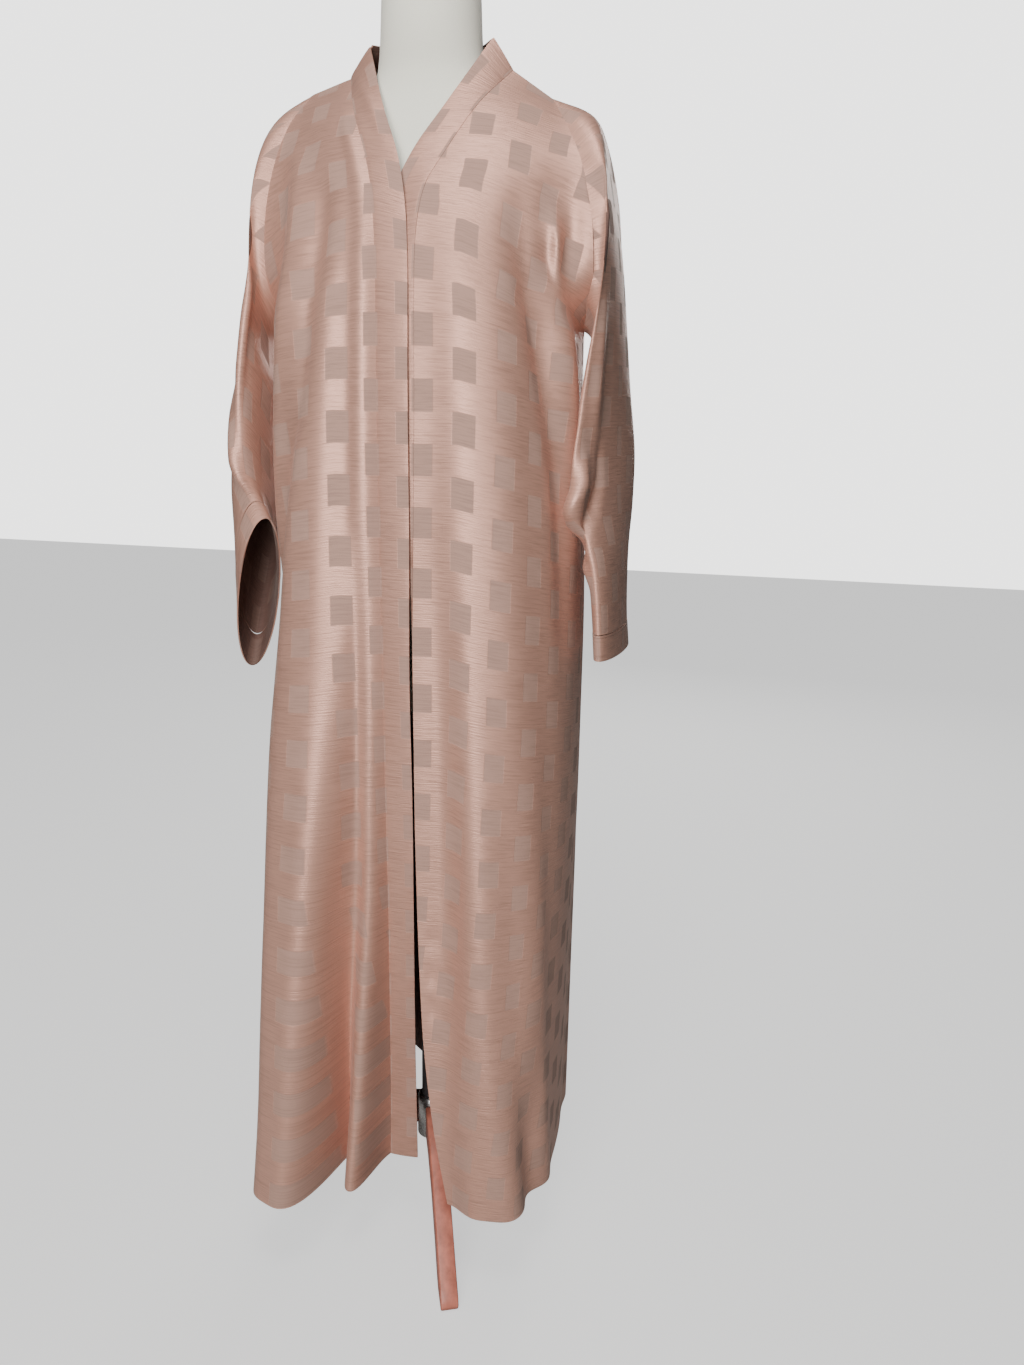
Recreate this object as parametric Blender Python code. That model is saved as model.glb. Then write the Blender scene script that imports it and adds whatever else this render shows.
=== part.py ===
"""Open abaya cloak worn by a limbless dress form on a pole with a wooden tripod.

Frame: origin on the floor under the pole, +Z up, the cloak's front faces -Y and
the wearer's left is +X. Metres.
"""
import math

import bmesh
import bpy
import numpy as np

# ---------------------------------------------------------------- driving sizes
CLOTH = 0.0018          # wall of one layer of cloth
BAND_CLOTH = 0.0026     # wall of the folded band and of the turned cuff
GAP = 0.0007            # between two pieces that meet edge to edge
BAND_ROOM = 0.0010      # between a front and its band, where the seam may fold
SLEEVE_ROOM = 0.0018    # between the body and a sleeve at the armhole
UNDERARM_Z = 1.262      # where the side seam meets the sleeve
CUFF_WIDTH = 0.033      # turned hem of the sleeve
CUFF_GAP = 0.0017       # on each side of its stitching line

POLE_RADIUS = 0.0150
HUB_RADIUS = 0.0215
HUB_BOTTOM = 0.096
HUB_TOP = 0.166
LEG_WIDTH = 0.024
LEG_REACH = 0.236       # pole axis to the foot's end
LEG_TURNS = (22.8, 142.8, 262.8)   # degrees from -Y towards +X
NECK_TOP = 1.640
NECK_RISE = 0.036       # the band stands this far up round the back of the neck
NECK_DRAW_X = 0.745     # and is drawn in towards the neck, sideways
NECK_DRAW_Y = 0.93      # and forwards
CLEAR = 0.0003          # between hard pieces that touch
BLUNT = 0.25            # share of a fold's half width over which its top is flat
SHARPEST = 0.8          # the tightest turn a seam makes, in radians

# Rows and columns of each piece's grid.
SKIRT_ROWS = 15         # hem to underarm
YOKE_ROWS = 11          # underarm to shoulder
NECK_ROWS = 4           # of those, on the back, from its middle to the shoulder
FRONT_COLUMNS = 13
BACK_COLUMNS = 11       # each half
SLEEVE_ROWS = 14
BAND_COLUMNS = 2
FORM_RINGS = 35
FORM_COLUMNS = 36


# Rows of the tables below that are corners of the cut.
UNDERARM = 8            # fronts and back
BACK_NECK = 12          # back only: the middle of its neck seam


# ------------------------------------------------------------------ small tools
def table(columns, rows):
    """A table with named columns, as arrays."""
    values = np.array(rows, dtype=float)
    return {name: values[:, i] for i, name in enumerate(columns.split())}


def curve(at, knots, values):
    """Smooth curve through the values at the knots, which never overshoots them."""
    at = np.clip(np.asarray(at, dtype=float), knots[0], knots[-1])
    values = np.asarray(values, dtype=float)
    step = np.diff(knots).reshape((-1,) + (1,) * (values.ndim - 1))
    rise = np.diff(values, axis=0) / step
    both = rise[:-1] * rise[1:]
    mean = 2 * both / np.where(both > 0, rise[:-1] + rise[1:], 1.0)
    slope = np.concatenate([rise[:1], np.where(both > 0, mean, 0.0), rise[-1:]])
    i = np.clip(np.searchsorted(knots, at, side="right") - 1, 0, len(step) - 1)
    h = step[i]
    f = (at - knots[i]) / (knots[i + 1] - knots[i])
    return (values[i] * (1 + 2 * f) * (1 - f) ** 2 + values[i + 1] * f * f * (3 - 2 * f)
            + slope[i] * h * f * (1 - f) ** 2 - slope[i + 1] * h * f * f * (1 - f))


def points(tab, name):
    """The x, y, z columns of one named line of a table."""
    return np.stack([tab[name + "_x"], tab[name + "_y"], tab[name + "_z"]], axis=1)


def along(tab, name):
    """Length along one named line of a table, at each of its rows."""
    steps = np.linalg.norm(np.diff(points(tab, name), axis=0), axis=1)
    return np.concatenate([[0.0], np.cumsum(steps)])


def line_at(tab, name, knots, t):
    """Points of one named line of a table at the lengths t."""
    p = points(tab, name)
    return np.stack([curve(t, knots, p[:, k]) for k in range(3)], axis=-1)


def bump(distance, half_width):
    """Soft ridge with a blunt top: 1 over its middle, 0 past its half width."""
    out = (np.abs(distance) / half_width - BLUNT) / (1 - BLUNT)
    return 0.5 + 0.5 * np.cos(np.pi * np.clip(out, 0, 1))


# ------------------------------------------------------------- the cut in space
# One row for each level. seam: where the band joins the front; edge: the band's
# free edge; side: the side seam, then the armhole. full and turn shape the row's
# sweep from seam to side.
FRONT_COLS = ("seam_x seam_y seam_z edge_x edge_y edge_z side_x side_y side_z full turn")
FRONT_RIGHT = table(FRONT_COLS, [
    (-0.040, -0.075, 0.110, 0.001, -0.074, 0.110, -0.205, 0.000, 0.110, 0.80, 1.00),
    (-0.036, -0.083, 0.235, 0.002, -0.083, 0.235, -0.208, 0.000, 0.235, 0.80, 1.00),
    (-0.030, -0.100, 0.381, 0.006, -0.100, 0.381, -0.208, 0.000, 0.381, 0.80, 1.00),
    (-0.024, -0.118, 0.545, 0.011, -0.118, 0.545, -0.205, 0.000, 0.545, 0.78, 1.00),
    (-0.021, -0.132, 0.690, 0.015, -0.133, 0.690, -0.200, 0.000, 0.690, 0.75, 1.00),
    (-0.018, -0.145, 0.870, 0.018, -0.151, 0.870, -0.190, 0.000, 0.870, 0.72, 1.00),
    (-0.017, -0.153, 1.064, 0.021, -0.158, 1.064, -0.186, 0.000, 1.064, 0.70, 1.00),
    (-0.017, -0.155, 1.180, 0.021, -0.160, 1.180, -0.184, 0.000, 1.180, 0.68, 1.00),
    (-0.018, -0.151, 1.290, 0.020, -0.155, 1.285, -0.187, -0.001, UNDERARM_Z, 0.66, 1.00),
    (-0.022, -0.142, 1.345, 0.016, -0.144, 1.338, -0.193, -0.055, 1.310, 0.60, 0.50),
    (-0.030, -0.127, 1.396, 0.009, -0.130, 1.384, -0.189, -0.063, 1.375, 0.52, 0.40),
    (-0.044, -0.106, 1.436, -0.003, -0.112, 1.428, -0.181, -0.056, 1.430, 0.45, 0.35),
    (-0.070, -0.070, 1.488, -0.035, -0.069, 1.492, -0.166, -0.034, 1.489, 0.38, 0.35),
    (-0.098, -0.004, 1.544, -0.0745, -0.002, 1.577, -0.147, -0.002, 1.530, 0.33, 0.50),
])
FRONT_LEFT = table(FRONT_COLS, [
    (0.068, -0.150, 0.110, 0.088, -0.118, 0.110, 0.192, 0.000, 0.110, 0.80, 1.00),
    (0.045, -0.146, 0.235, 0.064, -0.113, 0.235, 0.194, 0.000, 0.235, 0.80, 1.00),
    (0.030, -0.143, 0.381, 0.044, -0.108, 0.381, 0.196, 0.000, 0.381, 0.80, 1.00),
    (0.024, -0.142, 0.545, 0.032, -0.105, 0.545, 0.199, 0.000, 0.545, 0.78, 1.00),
    (0.022, -0.144, 0.690, 0.026, -0.107, 0.690, 0.201, 0.000, 0.690, 0.76, 1.00),
    (0.022, -0.148, 0.870, 0.018, -0.112, 0.870, 0.201, 0.000, 0.870, 0.74, 1.00),
    (0.025, -0.153, 1.064, -0.012, -0.148, 1.064, 0.196, 0.000, 1.064, 0.72, 1.00),
    (0.027, -0.155, 1.180, -0.010, -0.150, 1.180, 0.190, 0.000, 1.180, 0.68, 1.00),
    (0.026, -0.151, 1.290, -0.012, -0.147, 1.285, 0.189, -0.001, UNDERARM_Z, 0.66, 1.00),
    (0.024, -0.140, 1.345, -0.013, -0.136, 1.338, 0.209, -0.060, 1.310, 0.60, 0.50),
    (0.026, -0.121, 1.396, -0.009, -0.119, 1.390, 0.206, -0.068, 1.375, 0.52, 0.40),
    (0.044, -0.100, 1.436, 0.007, -0.103, 1.436, 0.192, -0.060, 1.430, 0.45, 0.35),
    (0.070, -0.062, 1.492, 0.036, -0.067, 1.494, 0.169, -0.034, 1.476, 0.38, 0.35),
    (0.098, -0.004, 1.544, 0.0725, -0.002, 1.578, 0.145, -0.002, 1.513, 0.33, 0.50),
])
# The back, one half a row: centre: the middle, then the back neck seam.
BACK = table("centre_x centre_y centre_z side_x side_y side_z full turn", [
    (0.000, 0.196, 0.110, 0.192, 0.000, 0.110, 0.78, 1.00),
    (0.000, 0.192, 0.235, 0.194, 0.000, 0.235, 0.78, 1.00),
    (0.000, 0.187, 0.381, 0.196, 0.000, 0.381, 0.78, 1.00),
    (0.000, 0.181, 0.545, 0.199, 0.000, 0.545, 0.78, 1.00),
    (0.000, 0.175, 0.690, 0.201, 0.000, 0.690, 0.76, 1.00),
    (0.000, 0.166, 0.870, 0.201, 0.000, 0.870, 0.74, 1.00),
    (0.000, 0.156, 1.064, 0.196, 0.000, 1.064, 0.72, 1.00),
    (0.000, 0.149, 1.180, 0.190, 0.000, 1.180, 0.68, 1.00),
    (0.000, 0.141, 1.290, 0.189, 0.001, UNDERARM_Z, 0.66, 1.00),
    (0.000, 0.131, 1.365, 0.205, 0.058, 1.318, 0.60, 0.50),
    (0.000, 0.116, 1.440, 0.201, 0.067, 1.385, 0.52, 0.40),
    (0.000, 0.090, 1.512, 0.188, 0.060, 1.440, 0.45, 0.35),
    (0.000, 0.068, 1.553, 0.176, 0.044, 1.468, 0.40, 0.35),
    (0.054, 0.056, 1.552, 0.163, 0.026, 1.492, 0.35, 0.35),
    (0.098, 0.001, 1.544, 0.145, 0.002, 1.513, 0.33, 0.50),
])

# The largest folds of each panel, one row for each level: reach: how far from the
# seam (or the centre back) the ridge runs; height: how far it stands out, a trough
# below nought; half_width: from its top to its foot.
FOLD_COLS = "z reach height half_width"
FOLDS_RIGHT = {
    "pleat": table(FOLD_COLS, [
        (0.11, 0.030, 0.088, 0.028),
        (0.32, 0.024, 0.056, 0.030),
        (0.62, 0.015, 0.022, 0.024),
        (0.95, 0.012, 0.009, 0.018),
        (1.28, 0.011, 0.006, 0.016),
        (1.48, 0.011, 0.004, 0.014),
    ]),
    "lobe": table(FOLD_COLS, [
        (0.11, 0.106, 0.142, 0.052),
        (0.42, 0.106, 0.096, 0.066),
        (0.70, 0.104, 0.052, 0.078),
        (0.95, 0.095, 0.024, 0.072),
        (1.28, 0.070, 0.010, 0.050),
        (1.42, 0.060, 0.000, 0.050),
    ]),
}
FOLDS_LEFT = {
    "lobe": table(FOLD_COLS, [
        (0.11, 0.060, 0.022, 0.060),
        (0.42, 0.098, 0.026, 0.075),
        (0.84, 0.090, 0.014, 0.075),
        (1.28, 0.070, 0.006, 0.060),
        (1.42, 0.060, 0.000, 0.060),
    ]),
    "dip": table(FOLD_COLS, [
        (0.30, 0.036, 0.000, 0.030),
        (0.57, 0.044, -0.007, 0.028),
        (0.78, 0.040, -0.007, 0.026),
        (1.02, 0.036, 0.000, 0.026),
    ]),
    "armpit": table(FOLD_COLS, [
        (1.20, 0.165, 0.000, 0.030),
        (1.29, 0.165, -0.009, 0.034),
        (1.34, 0.160, -0.012, 0.034),
        (1.42, 0.150, 0.000, 0.034),
    ]),
}
FOLDS_BACK_RIGHT = {
    "centre": table(FOLD_COLS, [
        (0.11, 0.050, -0.030, 0.046),
        (0.60, 0.044, -0.016, 0.044),
        (1.10, 0.040, 0.000, 0.040),
    ]),
    "outer": table(FOLD_COLS, [
        (0.11, 0.130, 0.020, 0.050),
        (0.60, 0.118, 0.010, 0.050),
        (1.05, 0.110, 0.000, 0.050),
    ]),
    "flank": table(FOLD_COLS, [
        (0.11, 0.205, -0.024, 0.044),
        (0.55, 0.200, -0.012, 0.044),
        (0.95, 0.190, 0.000, 0.044),
    ]),
}
FOLDS_BACK_LEFT = {
    "centre": table(FOLD_COLS, [
        (0.11, 0.040, 0.018, 0.048),
        (0.60, 0.040, 0.010, 0.048),
        (1.15, 0.040, 0.000, 0.048),
    ]),
    "middle": table(FOLD_COLS, [
        (0.11, 0.104, -0.034, 0.044),
        (0.60, 0.098, -0.018, 0.044),
        (1.15, 0.092, 0.000, 0.044),
    ]),
    "flank": table(FOLD_COLS, [
        (0.11, 0.190, 0.016, 0.050),
        (0.50, 0.186, 0.012, 0.050),
        (0.95, 0.180, 0.000, 0.050),
    ]),
}

# Sleeves below the armhole, one row for each ring: its centre, the way from the
# centre to the outer side and to the front, and how far both halves belly outward.
SLEEVE_COLS = "mid_x mid_y mid_z out_x out_y out_z fore_x fore_y fore_z belly"
SLEEVE_RIGHT = table(SLEEVE_COLS, [
    (-0.1900, 0.000, 1.3845, 0.0090, 0.000, 0.1275, 0.000, -0.065, 0.000, -0.012),
    (-0.2020, 0.000, 1.3660, 0.0020, 0.000, 0.1190, 0.000, -0.070, 0.000, -0.003),
    (-0.2010, -0.002, 1.3175, 0.0020, 0.000, 0.1000, -0.002, -0.075, 0.000, -0.002),
    (-0.2050, -0.004, 1.2600, -0.0090, 0.000, 0.0720, -0.002, -0.080, 0.000, -0.003),
    (-0.2150, -0.010, 1.1800, -0.0160, 0.000, 0.0430, 0.000, -0.082, 0.004, 0.000),
    (-0.2230, -0.018, 1.1000, -0.0220, -0.004, 0.0200, 0.006, -0.080, 0.022, 0.000),
    (-0.2300, -0.027, 1.0350, -0.0270, -0.006, 0.0000, 0.014, -0.070, 0.050, 0.000),
    (-0.2320, -0.036, 0.9750, -0.0250, -0.010, -0.0050, 0.024, -0.055, 0.088, 0.000),
    (-0.2275, -0.044, 0.9240, -0.0225, -0.014, 0.0000, 0.031, -0.034, 0.106, 0.000),
])
SLEEVE_LEFT = table(SLEEVE_COLS, [
    (0.1885, 0.000, 1.3800, -0.0105, 0.000, 0.1220, 0.002, -0.069, -0.002, 0.026),
    (0.2020, 0.000, 1.3675, -0.0015, 0.000, 0.1245, 0.002, -0.073, -0.003, 0.020),
    (0.2080, 0.000, 1.3200, 0.0080, 0.000, 0.1050, 0.000, -0.080, 0.000, 0.014),
    (0.2150, 0.000, 1.2600, 0.0170, 0.000, 0.0720, -0.003, -0.080, 0.000, 0.003),
    (0.2185, 0.003, 1.1750, 0.0190, 0.005, 0.0450, -0.014, -0.081, 0.000, 0.000),
    (0.2220, 0.000, 1.1000, 0.0190, 0.010, 0.0200, -0.024, -0.080, 0.005, 0.000),
    (0.2255, 0.000, 1.0450, 0.0190, 0.005, 0.0100, -0.020, -0.078, 0.000, 0.000),
    (0.2325, 0.000, 0.9950, 0.0180, 0.005, 0.0050, -0.008, -0.077, 0.000, 0.000),
    (0.2370, 0.000, 0.9300, 0.0165, 0.004, 0.0000, -0.005, -0.074, 0.000, 0.000),
    (0.2420, 0.000, 0.8720, 0.0150, 0.004, 0.0000, -0.007, -0.070, 0.000, 0.000),
])

# The dress form, one row for each level section.
FORM = table("z half_width front back", [
    (0.790, 0.138, 0.080, 0.088),
    (0.796, 0.150, 0.092, 0.100),
    (0.812, 0.158, 0.100, 0.108),
    (0.920, 0.163, 0.104, 0.112),
    (1.040, 0.138, 0.088, 0.088),
    (1.120, 0.128, 0.082, 0.080),
    (1.220, 0.140, 0.104, 0.092),
    (1.300, 0.152, 0.124, 0.104),
    (1.370, 0.162, 0.118, 0.106),
    (1.420, 0.170, 0.098, 0.098),
    (1.452, 0.168, 0.082, 0.082),
    (1.478, 0.146, 0.066, 0.066),
    (1.500, 0.112, 0.056, 0.057),
    (1.520, 0.080, 0.051, 0.053),
    (1.540, 0.066, 0.050, 0.052),
    (1.562, 0.0615, 0.054, 0.053),
    (1.590, 0.0595, 0.057, 0.054),
    (NECK_TOP - 0.012, 0.0580, 0.056, 0.054),
])


# --------------------------------------------------------------- cloth surfaces
def row_sweep(inner, outer, full, turn, count=160):
    """Level run of cloth from an inner to an outer point, as an even polyline."""
    dx = outer[0] - inner[0]
    dy = outer[1] - inner[1]
    p1 = np.array([inner[0] + full * dx, inner[1]])
    p2 = np.array([outer[0] - (1 - turn) * full * dx, outer[1] - turn * full * dy])
    f = np.linspace(0, 1, count)[:, None]
    run = (inner[:2] * (1 - f) ** 3 + p1 * 3 * f * (1 - f) ** 2
           + p2 * 3 * f * f * (1 - f) + outer[:2] * f ** 3)
    reach = np.concatenate([[0], np.cumsum(np.linalg.norm(np.diff(run, axis=0), axis=1))])
    return run, reach


def columns_of(length, columns):
    """Distances of a row's points: one close to each end, the rest even."""
    close = 0.007
    return np.concatenate([[0.0], np.linspace(close, length - close, columns - 1), [length]])


def levels(tab, inner):
    """Lengths up a panel at which its rows run: even below and above the underarm."""
    knots = along(tab, inner)
    skirt = np.linspace(0, knots[UNDERARM], SKIRT_ROWS + 1)
    if len(knots) - 1 > BACK_NECK:
        yoke = np.linspace(knots[UNDERARM], knots[BACK_NECK], YOKE_ROWS - NECK_ROWS + 1)
        neck = np.linspace(knots[BACK_NECK], knots[-1], NECK_ROWS + 1)
        return knots, np.concatenate([skirt, yoke[1:], neck[1:]])
    yoke = np.linspace(knots[UNDERARM], knots[-1], YOKE_ROWS + 1)
    return knots, np.concatenate([skirt, yoke[1:]])


def panel(tab, inner, folds, outward, columns):
    """Grid of points of one panel, from its hem up and from its inner edge outwards."""
    knots, rows = levels(tab, inner)
    grid = []
    for t in rows:
        a = line_at(tab, inner, knots, t)
        b = line_at(tab, "side", knots, t)
        run, reach = row_sweep(a, b, curve(t, knots, tab["full"]), curve(t, knots, tab["turn"]))
        at = columns_of(reach[-1], columns)
        x = np.interp(at, reach, run[:, 0])
        y = np.interp(at, reach, run[:, 1])
        z = a[2] + (b[2] - a[2]) * at / reach[-1]
        tangent = np.gradient(np.stack([x, y], axis=1), at, axis=0)
        tangent /= np.linalg.norm(tangent, axis=1)[:, None]
        push = np.zeros(len(at))
        for fold in folds.values():
            inside = (z >= fold["z"][0]) & (z <= fold["z"][-1])
            centre = curve(z, fold["z"], fold["reach"])
            height = np.where(inside, curve(z, fold["z"], fold["height"]), 0.0)
            push += height * bump(at - centre, curve(z, fold["z"], fold["half_width"]))
        ends = np.minimum(at, reach[-1] - at)
        push *= np.clip(ends / 0.010, 0, 1)
        x += push * tangent[:, 1] * outward
        y -= push * tangent[:, 0] * outward
        grid.append(np.stack([x, y, z], axis=1))
    return np.array(grid)


def stand_off(seam, inside, outside, wall, room):
    """Starts a piece clear of the one it is sewn to: the sharper the fold, the further."""
    a = inside - seam
    b = outside - seam
    lengths = np.linalg.norm(a, axis=1) * np.linalg.norm(b, axis=1)
    angle = np.arccos(np.clip((a * b).sum(axis=1) / lengths, -1, 1))
    angle = np.maximum(angle, SHARPEST)
    start = room + np.maximum((CLOTH + wall * np.cos(angle)) / 2 / np.sin(angle), 0)
    return seam + b * (start / np.linalg.norm(b, axis=1))[:, None]


def other_half(back, front):
    """The back's table mirrored, with its side and armhole carried to the other front's."""
    half = dict(back)
    half["centre_x"] = -back["centre_x"]
    above = np.maximum(back["side_z"] - UNDERARM_Z, 0)
    lift = (front["side_z"][-1] - UNDERARM_Z) / (back["side_z"][-1] - UNDERARM_Z) - 1
    half["side_z"] = back["side_z"] + above * lift
    half["side_x"] = np.interp(half["side_z"], front["side_z"], front["side_x"])
    return half


def between(seam, edge):
    """Grid of a band from its seam to its free edge."""
    across = np.linspace(0, 1, BAND_COLUMNS + 1)[None, :, None]
    return seam[:, None] + (edge - seam)[:, None] * across


def front_strip(tab, front):
    """The band of one front, on its panel's own levels."""
    knots, rows = levels(tab, "seam")
    edge = line_at(tab, "edge", knots, rows)
    return between(stand_off(front[:, 0], front[:, 1], edge, BAND_CLOTH, BAND_ROOM), edge)


def neck_strip(back):
    """The band round the back of the neck, standing on the back's neck seam."""
    knots, rows = levels(back, "centre")
    half = line_at(back, "centre", knots, rows[:-NECK_ROWS - 2:-1])
    seam = np.concatenate([half * (-1, 1, 1), half[-2::-1]])
    edge = seam * (NECK_DRAW_X, NECK_DRAW_Y, 1) + (0, 0, NECK_RISE)
    return between(seam + (0, 0, 2 * GAP), edge)


def armhole(front, back, column):
    """Closed loop down the front's armhole and up the back's, along one column of both."""
    down = front[:-YOKE_ROWS - 2:-1, column]
    up = back[-YOKE_ROWS:-1, column]
    return np.concatenate([down, up])


def sleeve_stations(tab, loop, inside):
    """The armhole and every ring of a sleeve's table, with the mean length down to each."""
    top, bottom = loop[0, 2], loop[YOKE_ROWS, 2]
    turn = np.arccos(np.clip((2 * loop[:, 2] - top - bottom) / (top - bottom), -1, 1))[:, None]
    turn[YOKE_ROWS + 1:] *= -1
    rings = []
    for i in range(len(tab["belly"])):
        mid, out, fore = (points(tab, name)[i] for name in ("mid", "out", "fore"))
        one = mid + np.cos(turn) * out + np.sin(turn) * fore
        one[:, 0] += tab["belly"][i] * np.sin(turn[:, 0]) ** 2
        rings.append(one)
    stations = np.array([stand_off(loop, inside, rings[0], CLOTH, SLEEVE_ROOM)] + rings)
    steps = np.linalg.norm(np.diff(stations, axis=0), axis=2).mean(axis=1)
    return np.concatenate([[0.0], np.cumsum(steps)]), stations


def trim(grid):
    """Draws a panel's side and shoulder edges back from their seams, within the panel."""
    for edge, inward in ((grid[:, -1], grid[:, -2]), (grid[-1], grid[-2])):
        way = inward - edge
        edge += way / np.linalg.norm(way, axis=-1, keepdims=True) * GAP / 2
    return grid


# --------------------------------------------------------------------- objects
def material(name, colour, roughness, metallic=0.0):
    mat = bpy.data.materials.new(name)
    mat.use_nodes = True
    shader = mat.node_tree.nodes["Principled BSDF"]
    shader.inputs["Base Color"].default_value = (*colour, 1.0)
    shader.inputs["Roughness"].default_value = roughness
    shader.inputs["Metallic"].default_value = metallic
    mat.diffuse_color = (*colour, 1.0)
    return mat


def add_object(name, bm, mat, smooth=True):
    mesh = bpy.data.meshes.new(name)
    bm.to_mesh(mesh)
    bm.free()
    obj = bpy.data.objects.new(name, mesh)
    bpy.context.scene.collection.objects.link(obj)
    mesh.materials.append(mat)
    if smooth:
        mesh.shade_smooth()
        mesh.set_sharp_from_angle(angle=math.radians(40))
    return obj


def grid_faces(bm, grid, closed=False, flip=False):
    """Quads between the rows of a grid of points; closed joins the last column to the first."""
    rows = [[bm.verts.new(p) for p in row] for row in grid]
    columns = len(rows[0])
    for lower, upper in zip(rows, rows[1:]):
        for i in range(columns if closed else columns - 1):
            j = (i + 1) % columns
            face = (lower[i], lower[j], upper[j], upper[i])
            bm.faces.new(face[::-1] if flip else face)
    return rows


def cloth(name, grids, mat, wall, closed=False, flip=False):
    """A sheet of cloth as a wall on both sides of its middle surface."""
    bm = bmesh.new()
    for grid, turned in grids:
        grid_faces(bm, grid, closed, turned != flip)
    bmesh.ops.remove_doubles(bm, verts=bm.verts, dist=0.00001)
    obj = add_object(name, bm, mat)
    solid = obj.modifiers.new("Wall", "SOLIDIFY")
    solid.thickness = wall
    solid.offset = 0.0
    solid.use_even_offset = False
    return obj


def loft(name, sections, mat):
    """Closed body through level rings, with a face on each end."""
    bm = bmesh.new()
    rows = grid_faces(bm, sections, closed=True)
    bm.faces.new(rows[0][::-1])
    bm.faces.new(rows[-1])
    return add_object(name, bm, mat)


# ---------------------------------------------------------------------- cloak
def make_cloak():
    satin = material("cloak_satin", (0.52, 0.36, 0.29), 0.45)
    band_satin = material("band_satin", (0.50, 0.34, 0.28), 0.45)

    right = panel(FRONT_RIGHT, "seam", FOLDS_RIGHT, -1, FRONT_COLUMNS)
    left = panel(FRONT_LEFT, "seam", FOLDS_LEFT, 1, FRONT_COLUMNS)
    cloth("front_right", [(trim(right), True)], satin, CLOTH)
    cloth("front_left", [(trim(left), False)], satin, CLOTH)

    half_right = panel(other_half(BACK, FRONT_RIGHT), "centre", FOLDS_BACK_RIGHT, 1,
                       BACK_COLUMNS)
    half_left = panel(BACK, "centre", FOLDS_BACK_LEFT, -1, BACK_COLUMNS)
    cloth("back", [(trim(half_right), False), (trim(half_left), True)], satin, CLOTH)

    for side, tab, front, back in (("right", SLEEVE_RIGHT, right, half_right),
                                   ("left", SLEEVE_LEFT, left, half_left)):
        loop, inside = (armhole(front, back, column) for column in (-1, -2))
        knots, stations = sleeve_stations(tab, loop, inside)
        fold = knots[-1] - CUFF_WIDTH
        down = np.concatenate([[0.0], np.linspace(knots[1], fold - CUFF_GAP, SLEEVE_ROWS)])
        rings = np.array([curve(t, knots, stations) for t in down])
        cloth("sleeve_" + side, [(rings, side == "left")], satin, CLOTH, closed=True)
        down = np.linspace(fold + CUFF_GAP, knots[-1], 3)
        rings = np.array([curve(t, knots, stations) for t in down])
        cloth("cuff_" + side, [(rings, side == "left")], band_satin, BAND_CLOTH, closed=True)

    cloth("band_right", [(front_strip(FRONT_RIGHT, right), False)], band_satin, BAND_CLOTH)
    cloth("band_left", [(front_strip(FRONT_LEFT, left), True)], band_satin, BAND_CLOTH)
    cloth("band_neck", [(neck_strip(BACK), False)], band_satin, BAND_CLOTH)


# ----------------------------------------------------------- dress form and stand
def form_ring(z, half_width, front, back, count=FORM_COLUMNS):
    """One level section of the form: two half ellipses that meet at its sides."""
    loop = []
    for i in range(count):
        turn = 2 * math.pi * i / count
        depth = front if math.sin(turn) < 0 else back
        loop.append((half_width * math.cos(turn), depth * math.sin(turn), z))
    return loop


def make_form():
    cover = material("form_cover", (0.86, 0.85, 0.78), 0.75)
    spread = np.linspace(0, 1, FORM_RINGS)
    rows = np.linspace(0, 1, len(FORM["z"]))
    rings = []
    for z in np.interp(spread, rows, FORM["z"]):
        sizes = [float(curve(z, FORM["z"], FORM[k])) for k in ("half_width", "front", "back")]
        rings.append(form_ring(z, *sizes))
    loft("form", rings, cover)

    cap = material("cap", (0.80, 0.79, 0.73), 0.5)
    last = [FORM[k][-1] for k in ("half_width", "front", "back")]
    base = NECK_TOP - 0.012 + CLEAR
    shape = ((base, 1.0), (NECK_TOP - 0.004, 1.0), (NECK_TOP - 0.001, 0.96), (NECK_TOP, 0.90))
    loft("neck_cap", [form_ring(z, *(k * f for k in last)) for z, f in shape], cap)


def disc(radius, z, count=32):
    step = 2 * math.pi / count
    return [(radius * math.cos(i * step), radius * math.sin(i * step), z) for i in range(count)]


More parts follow.
